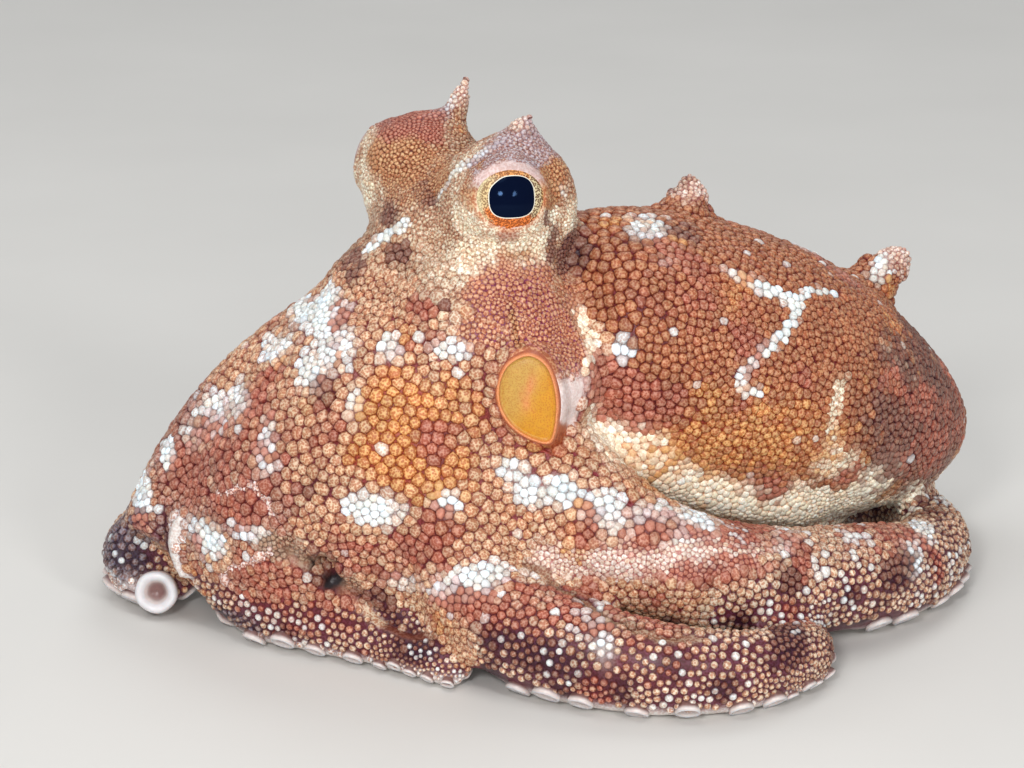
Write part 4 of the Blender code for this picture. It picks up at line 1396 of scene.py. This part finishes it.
def eyePiece(side):
    # kinds: 0 the pupil, 1 the white ring, 2 to 3 across the iris, 4 the ball behind it
    eye = eyes[side]
    radius = eye["radius"]
    mirror = 1 if side == "left" else -1
    turn = turnsRound(eyeBall["around"])
    pupil = np.arcsin(pupilReach(turn, mirror) / radius)
    iris = openingAngle(turn) + eyeBall["hidden"] / radius
    white = eyeBall["ringWide"] / radius
    start = pupil + white * 1.3
    rings = [(0, pupil * share) for share in eyeBall["pupilRings"]]
    rings += [(0, pupil), (1, pupil + white * 0.15), (1, pupil + white), (2, start)]
    for share in np.linspace(0.06, 1, eyeBall["irisRings"]):
        rings.append((2 + share, start + (iris - start) * share))
    for off in np.linspace(62, 179.8, eyeBall["backRings"]):
        rings.append((4, np.full(len(turn), math.radians(off))))
    flat = waysRound(turn, eye["across"], eye["up"])
    ways = [np.cos(off)[:, None] * eye["gaze"] + np.sin(off)[:, None] * flat for _, off in rings]
    piece = ringObject("eye_ball_" + side, [eye["centre"] + radius * way for way in ways])
    kinds = np.repeat([float(kind) for kind, _ in rings], len(turn))
    paintEye(piece.data, kinds, np.tile(turn, len(rings)), mirror)
    return piece


def paintEye(mesh, kinds, turn, mirror):
    share = np.clip(kinds - 2, 0, 1)
    x, y = np.cos(turn) * mirror, np.sin(turn)
    places = pointsOf(mesh)
    ragged = 0.5 * grain(places, 0.7, 51) + 0.4 * grain(places, 0.3, 52)
    front = ease(-x + 0.3 * ragged, 0.6, 0.85) * ease(share + 0.2 * ragged, 0.3, 0.6)
    rear = ease(x + 0.3 * ragged, 0.6, 0.85) * ease(share + 0.2 * ragged, 0.8, 0.5)
    sparkle = ease(-y + 0.1 * ragged, 0.86, 0.95) * ease(share + 0.25 * ragged, 0.62, 0.8)
    colour = layered(eyeBall["colours"], "gold", [
        ("orange", ease(y + 0.2 * ragged, 0.3, 0.7)),
        ("cream", 0.7 * ease(-x + 0.4 * ragged, 0.2, 0.7)),
        ("ember", ease(-y + 0.2 * ragged, 0.2, 0.55)),
        ("cream", np.maximum(front, rear)),
        ("sparkle", sparkle),
        ("outside", kinds >= 4),
        ("ring", (kinds >= 1) & (kinds < 2)),
        ("pupil", kinds < 1),
    ])
    spotted = np.where(kinds >= 2, 0.8 + 0.2 * ease(x, 0.3, 0.8) - 0.35 * front, 0) * (1 - sparkle)
    paint(mesh, colour, spots=spotted)




class Value:
    # a socket; sums and products of it add Math nodes
    def __init__(self, tree, socket):
        self.tree = tree
        self.socket = socket

    def math(self, operation, *values):
        made = self.tree.nodes.new("ShaderNodeMath")
        made.operation = operation
        for socket, value in zip(made.inputs, values):
            feed(self.tree, socket, value)
        return Value(self.tree, made.outputs[0])

    def __add__(self, other):
        return self.math("ADD", self, other)

    def __sub__(self, other):
        return self.math("SUBTRACT", self, other)

    def __rsub__(self, other):
        return self.math("SUBTRACT", other, self)

    def __mul__(self, other):
        return self.math("MULTIPLY", self, other)

    __radd__ = __add__
    __rmul__ = __mul__


def feed(tree, socket, value):
    if isinstance(value, Value):
        tree.links.new(value.socket, socket)
    else:
        socket.default_value = value


class Finish:
    # a material, with the one way of adding nodes to it
    def __init__(self, name, **uniform):
        self.material = bpy.data.materials.new(name)
        self.material.use_nodes = True
        self.tree = self.material.node_tree
        self.surface = self.tree.nodes["Principled BSDF"]
        self.set(**uniform)

    def set(self, **values):
        for name, value in values.items():
            feed(self.tree, self.surface.inputs[name.replace("_", " ")], value)

    def node(self, kind, output, settings, sockets):
        # the settings come first; sockets are named or numbered
        made = self.tree.nodes.new("ShaderNode" + kind)
        for name, value in settings.items():
            setattr(made, name, value)
        for key, value in sockets.items():
            feed(self.tree, made.inputs[key], value)
        return Value(self.tree, made.outputs[output])

    def stored(self, name):
        return self.node("Attribute", "Color" if name == "marking" else "Fac", {"attribute_name": name}, {})

    def pattern(self, kind, output, size, sockets):
        # size in millimetres
        place = self.node("TexCoord", "Object", {}, {})
        return self.node(kind, output, {}, {"Vector": place, "Scale": 1 / (size * mm), **sockets})

    def noise(self, size, detail=2.0):
        return self.pattern("TexNoise", "Fac", size, {"Detail": detail})

    def cells(self, size):
        return self.pattern("TexVoronoi", "Distance", size, {})

    def smooth(self, value, start, end):
        sockets = {"Value": value, "From Min": start, "From Max": end}
        return self.node("MapRange", "Result", {"interpolation_type": "SMOOTHSTEP"}, sockets)

    def mixed(self, share, first, second, blend="MIX"):
        settings = {"data_type": "RGBA", "blend_type": blend}
        return self.node("Mix", 2, settings, {0: share, 6: first, 7: second})

    def scaled(self, colour, factor):
        return self.node("VectorMath", 0, {"operation": "SCALE"}, {0: colour, "Scale": factor})

    def dotted(self, tint, spread, share, dot):
        # fine darker dots over the tint
        return self.mixed(spread * share, tint, self.mixed(1.0, tint, dot, "MULTIPLY"))

    def bump(self, height, strength, distance):
        sockets = {"Height": height, "Strength": strength, "Distance": distance * mm}
        return self.node("Bump", "Normal", {}, sockets)


def shade(*sRGB):
    return (*asLinear(sRGB), 1)


coatLook = {
    "top": (255, 238, 214),
    "topShare": 0.1,
    "dotSize": 0.31,
    "dot": (0.6, 0.32, 0.24, 1),
    "dotShare": 0.9,
    "roughness": 0.32,
    "roughnessSpread": 0.2,
    "coat": 0.06,
    "coatRoughness": 0.3,
    "softness": 0.06,
    "shine": 0.35,
    "bump": {True: 0.35, False: 0.5},  # on the granules and on the bare skin
}


def coatFinish(name, raised):
    finish = Finish(name, Coat_Weight=coatLook["coat"], Coat_Roughness=coatLook["coatRoughness"],
                    Subsurface_Weight=coatLook["softness"], Subsurface_Scale=1.0 * mm,
                    Subsurface_Radius=(1.0, 0.4, 0.25), Specular_IOR_Level=coatLook["shine"])
    tint = finish.stored("marking")
    if raised:
        crest = finish.smooth(finish.stored("rise"), 0.6, 1)
        tint = finish.mixed(crest * coatLook["topShare"], tint, shade(*coatLook["top"]))
    spread = finish.smooth(finish.cells(coatLook["dotSize"]) + finish.noise(0.9) * 0.3, 0.84, 0.56)
    tint = finish.dotted(tint, spread * finish.stored("dots"), coatLook["dotShare"], coatLook["dot"])
    tint = finish.scaled(tint, finish.noise(1.1, 3) * 0.5 + finish.noise(4.5) * 0.4 + 0.58)
    rough = finish.noise(0.6) * coatLook["roughnessSpread"] + coatLook["roughness"]
    fine = finish.noise(0.3) * 0.6 + finish.cells(0.42) * 0.5
    finish.set(Base_Color=tint, Roughness=rough, Normal=finish.bump(fine, coatLook["bump"][raised], 0.12))
    return finish.material


def funnelFinish():
    finish = Finish("funnel_membrane", Coat_Weight=0.2, Coat_Roughness=0.3, Subsurface_Weight=0.15,
                    Subsurface_Scale=1.5 * mm, Subsurface_Radius=(1.0, 0.5, 0.2))
    spread = finish.smooth(finish.cells(0.22), 0.55, 0.3) * finish.stored("dots")
    tint = finish.dotted(finish.stored("marking"), spread, 0.6, (0.8, 0.5, 0.25, 1))
    tint = finish.scaled(tint, finish.noise(0.9, 3) * 0.3 + 0.87)
    finish.set(Base_Color=tint, Roughness=finish.noise(0.5) * 0.15 + 0.4,
               Normal=finish.bump(finish.noise(0.25), 0.3, 0.1))
    return finish.material


def eyeFinish():
    finish = Finish("eye_gloss", Specular_IOR_Level=0.1, Specular_Tint=(0.25, 0.5, 1.0, 1))
    spread = finish.smooth(finish.cells(0.22), 0.64, 0.5) * finish.stored("spots")
    tint = finish.mixed(spread * 0.85, finish.stored("marking"), shade(84, 34, 20))
    finish.set(Base_Color=tint, Roughness=finish.noise(0.4) * 0.02 + 0.08)
    return finish.material


def suckerFinish():
    finish = Finish("sucker_flesh", Coat_Weight=0.25, Coat_Roughness=0.25, Subsurface_Weight=0.2,
                    Subsurface_Scale=1.5 * mm, Subsurface_Radius=(1.0, 0.5, 0.35))
    deep = finish.stored("rise")
    tint = finish.mixed(finish.smooth(deep, 0.98, 0.6), shade(206, 194, 190), shade(118, 84, 80))
    edge = finish.smooth(deep, 1.0, 1.12)
    tint = finish.mixed(edge * 0.6, tint, shade(206, 210, 216))
    tint = finish.scaled(tint, finish.noise(1.0, 3) * 0.3 + 0.85)
    finish.set(Base_Color=tint, Roughness=finish.noise(0.5) * 0.15 + 0.35,
               Normal=finish.bump(finish.noise(0.4), 0.25, 0.1))
    return finish.material


def floorFinish():
    finish = Finish("pale_floor")
    tint = finish.mixed(finish.noise(60, 3), shade(206, 204, 200), shade(216, 214, 210))
    finish.set(Base_Color=tint, Roughness=finish.noise(20) * 0.1 + 0.7)
    return finish.material


def joined(first, *others):
    chosen(first, *others)
    bpy.ops.object.join()
    return first


def placed(piece, slot, material, *replaced):
    # hands a finished piece to the model's one body
    smoothed(piece.data)
    piece.data.materials.clear()
    piece.data.materials.append(material)
    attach(piece, "root")
    if replaced:
        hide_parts(*replaced)


skin = joined(buildSkin(), *[lidPiece(side) for side in eyes])
triangulated = bmesh.new()
triangulated.from_mesh(skin.data)
bmesh.ops.triangulate(triangulated, faces=triangulated.faces)
triangulated.to_mesh(skin.data)
triangulated.free()
ground = Ground(skin.data)
print("skin:", len(skin.data.polygons), "faces")

unwrap = Unwrap(skin)
mapSkin()
skinNames = nodesAt(ground.points)
skinMasks = markingMasks(ground.points, skinNames)
fewerDots = {"pale": 0.6, "margin": 0.6, "lid": 0.6, "tube": 0.75}


def paintSkin():
    # the darker colours of the furrows, and the lighter ones where it shows bare
    bare = bareSkin(ground.points, skinMasks)
    for edge, _, over in roundEyes(ground.points):
        bare = np.maximum(bare, ease(edge, 3.4, 2.2) * (over < 3))
    dark = coatColour(skinMasks, None)
    light = coatColour(skinMasks, np.full(len(bare), 0.5))
    dots = 1 - np.maximum.reduce([share * skinMasks[kind] for kind, share in fewerDots.items()])
    paint(skin.data, dark + (light - dark) * bare[:, None], dots=dots)


paintSkin()
placed(skin, "body_skin", coatFinish("bare_skin", False), *fleshNodes)
print("skin painted")

coat = coatFinish("coat_granules", True)
families = {"mantle": ["mantle"], "web": ["web_and_crown", "funnel"], "head": ["head"]}

coatBuild = {
    "mostTriangles": 180000,  # in one piece
    "fewest": 12,  # granules worth a piece
    "high": (0.28, 0.11),  # share of a granule's width, and how much that varies
    "lower": 0.35,  # how much lower they are where the skin is smooth
    "higher": 0.35,  # and how much higher the pale ones are
    "peaks": 1.4,  # and those on the papillae
    "stray": 2.4,  # how far from home a granule's own zone may lie
    "flecks": (0.012, 0.3),  # share of single pale granules, on the web and at most on the arms
    "brightness": (0.82, 0.34),
    "hue": (0.05, 0.12, 0.2),  # how much red, green and blue vary
    "fewerDots": 0.7,
    "lowBead": 0.84,  # width of the beads low on the arms, as a share of their room
}


def familyOf(names):
    found = np.where(np.char.startswith(names, "arm_left"), "left_arms", "right_arms")
    for family, members in families.items():
        found[np.isin(names, members)] = family
    return found


def granuleColours(roots, gaps, masks, arm):
    # the colour of each granule's foot and of its top, and how much fine dots show on it
    chance = np.random.default_rng(12)
    count = len(roots)
    own = chance.random(count)
    least, most = coatBuild["brightness"]
    spread = most * (1 - 0.5 * masks["head"])
    bright = least + 0.5 * (most - spread) + spread * chance.random(count)
    high = coatColour(masks, own) * bright[:, None]
    high *= 1 + np.array(coatBuild["hue"]) * (2 * chance.random(count) - 1)[:, None]
    few, many = coatBuild["flecks"]
    crowd = ease(grain(roots, 5.0, 41) + 0.4 * grain(roots, 2.2, 42), -0.2, 0.5)
    rate = few * (gaps > 0.9) + (many - few) * arm * crowd
    fleck = (chance.random(count) < rate) * (0.3 + 0.1 * arm + 0.4 * chance.random(count))
    high += (asLinear(palette["pale"][1]) - high) * fleck[:, None]
    clean = [masks["pale"], fleck, 0.6 * masks["blush"], 0.4 * masks["cream"], 0.8 * masks["rim"]]
    return coatColour(masks, None), high, 1 - coatBuild["fewerDots"] * np.maximum.reduce(clean)


def mapGranules(mesh, roots, ways, shape):
    # a small patch for each granule, round its root's place on the skin's map
    spots = unwrap.spot(roots, unwrap.faceAt(roots))
    disc = np.vstack([ways * wide for wide, _, _ in shape["rings"]] + [np.zeros((1, 2))])
    around = (spots[:, None] + disc[None] * unwrapShape["patch"] / 2).reshape(-1, 2)
    setBakeMap(mesh, around[cornersOf(mesh)])


def buildCoat():
    roots, normals, gaps = granuleRoots()
    names = nodesAt(roots)
    arm = np.char.startswith(names, "arm")
    chance = np.random.default_rng(13)
    strayed = roots + drift(roots) + coatBuild["stray"] * (chance.random((len(roots), 3)) - 0.5)
    masks = markingMasks(roots, nodesAt(strayed))
    foot, top, dots = granuleColours(roots, gaps, masks, arm)
    least, spread = coatBuild["high"]
    height = gaps * (least + spread * chance.random(len(roots)))
    smooth = np.maximum.reduce([masks["violet"], masks["mauve"], masks["blush"]])
    height *= 1 - coatBuild["lower"] * smooth + coatBuild["higher"] * masks["pale"]
    for near in byPapillae(roots, 5, 1.5):
        height *= 1 + coatBuild["peaks"] * near
    spare = np.where(arm, ease(roots[:, 2] + 2 * grain(roots, 5.0, 43), 13, 8), 0)
    small = gaps < granuleShape["fine"]
    family = familyOf(names)
    for group in np.unique(family):
        for kind, sized in (("large", ~small), ("small", small)):
            part = np.nonzero((family == group) & sized)[0]
            if len(part) < coatBuild["fewest"]:
                continue
            part = part[np.argsort(roots[part, 0], kind="stable")]
            shape = granuleShape[kind]
            around = shape["around"]
            first, second, ways, radius = granuleCells(roots[part], normals[part], gaps[part], around)
            bead = coatBuild["lowBead"] * radius.min(axis=1, keepdims=True)
            radius = radius + (bead - radius) * spare[part][:, None]
            triangles = len(part) * around * (2 * len(shape["rings"]) - 1)
            pieces = math.ceil(triangles / coatBuild["mostTriangles"])
            for number, some in enumerate(np.array_split(np.arange(len(part)), pieces)):
                mine = part[some]
                cells = (first[some], second[some], ways, radius[some])
                name = "granules_" + group + ("_fine" if kind == "small" else "") + f"_{number + 1}"
                upright = (roots[mine], normals[mine])
                piece, rise, each = granuleMesh(name, *upright, cells, height[mine], shape)
                low, high = (np.repeat(colours[mine], each, axis=0) for colours in (foot, top))
                tint = low + (high - low) * rise[:, None]
                paint(piece.data, tint, rise=rise, dots=np.repeat(dots[mine], each))
                mapGranules(piece.data, roots[mine], ways, shape)
                placed(piece, "arm_skin" if "arms" in group else "body_skin", coat)
                print(name, len(piece.data.polygons), "faces")


buildCoat()

mouthLook = {
    "peach": (182, 142, 62), "amber": (192, 134, 14), "slit": (206, 126, 84), "rim": (212, 138, 92),
    "outside": (168, 92, 64),
}
mouth, mouthFlat, slitAway = mouthPiece()
outside = mouthView(pointsOf(mouth.data))[2]
mouthTint = layered(mouthLook, "peach", [
    ("amber", ease(mouthFlat[:, 0] - 0.5 * mouthFlat[:, 1], -1.5, 2.2)),
    ("slit", 0.6 * np.exp(-(slitAway / 0.55) ** 2)),
    ("rim", ease(outside, -0.15, 0.1)),
    ("outside", ease(outside, 0.25, 0.5)),
])
paint(mouth.data, mouthTint, dots=np.ones(len(outside)))
placed(mouth, "funnel", funnelFinish())

suckers, depth = suckerPiece()
paint(suckers.data, np.ones((len(depth), 3)), rise=1 + depth)
placed(suckers, "arm_skin", suckerFinish())

gloss = eyeFinish()
for side in eyes:
    placed(eyePiece(side), "eye", gloss, "eye_" + side)
print("mouth, suckers and eyes made")

studio = {
    "floor": 900,  # half its width
    "sky": (0.8, 0.83, 0.86, 1),
    "skyStrength": 0.36,
    "lit": (0, 0, 0.03),  # where the lights point, in metres
}
cameraSet = {"lens": 135, "elevation": 17, "away": 500, "aim": (-3.8, -6.9, 30.6)}
lightSet = {
    # azimuth, elevation, distance and size in metres, power in watts
    "key": (-12, 27, 0.6, 0.1, 1.4),
    "second": (28, 26, 0.6, 0.1, 0.85),
    "low": (2, 10, 0.9, 0.4, 2.9),
    "above": (-40, 70, 0.7, 0.5, 1.4),
    "back": (165, 55, 0.8, 0.5, 1.6),
    "far": (-110, 35, 0.8, 0.5, 1.0),
}

half = studio["floor"]
corners = [(-half, -half, 0), (half, -half, 0), (half, half, 0), (-half, half, 0)]
floor = meshObject("floor", corners, [(0, 1, 2, 3)])
floor.data.materials.append(floorFinish())
floor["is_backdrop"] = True


def wayTo(azimuth, elevation):
    # azimuth 0 is straight in front
    a, e = math.radians(azimuth), math.radians(elevation)
    return Vector((math.sin(a) * math.cos(e), -math.cos(a) * math.cos(e), math.sin(e)))


def stood(name, data, place, way):
    # a camera or light at the place, looking back along the way to it
    made = inScene(name, data)
    made.location = place
    made.rotation_mode = "QUATERNION"
    made.rotation_quaternion = (-way).to_track_quat("-Z", "Y")
    return made


lens = bpy.data.cameras.new("camera")
lens.lens = cameraSet["lens"]
lens.clip_start = 0.01
way = wayTo(0, cameraSet["elevation"])
camera = stood("camera", lens, (Vector(cameraSet["aim"]) + way * cameraSet["away"]) * mm, way)
bpy.context.scene.camera = camera

for name, (azimuth, elevation, away, size, power) in lightSet.items():
    light = bpy.data.lights.new(name, "AREA")
    light.shape = "DISK"
    light.size = size
    light.energy = power
    way = wayTo(azimuth, elevation)
    stood(name, light, Vector(studio["lit"]) + way * away, way).visible_glossy = name != "low"

world = bpy.data.worlds.new("studio")
bpy.context.scene.world = world
world.use_nodes = True
sky = world.node_tree.nodes["Background"].inputs
sky["Color"].default_value = studio["sky"]
sky["Strength"].default_value = studio["skyStrength"]
bpy.context.scene.view_settings.view_transform = "Standard"
print("camera and lights set")

low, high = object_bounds()
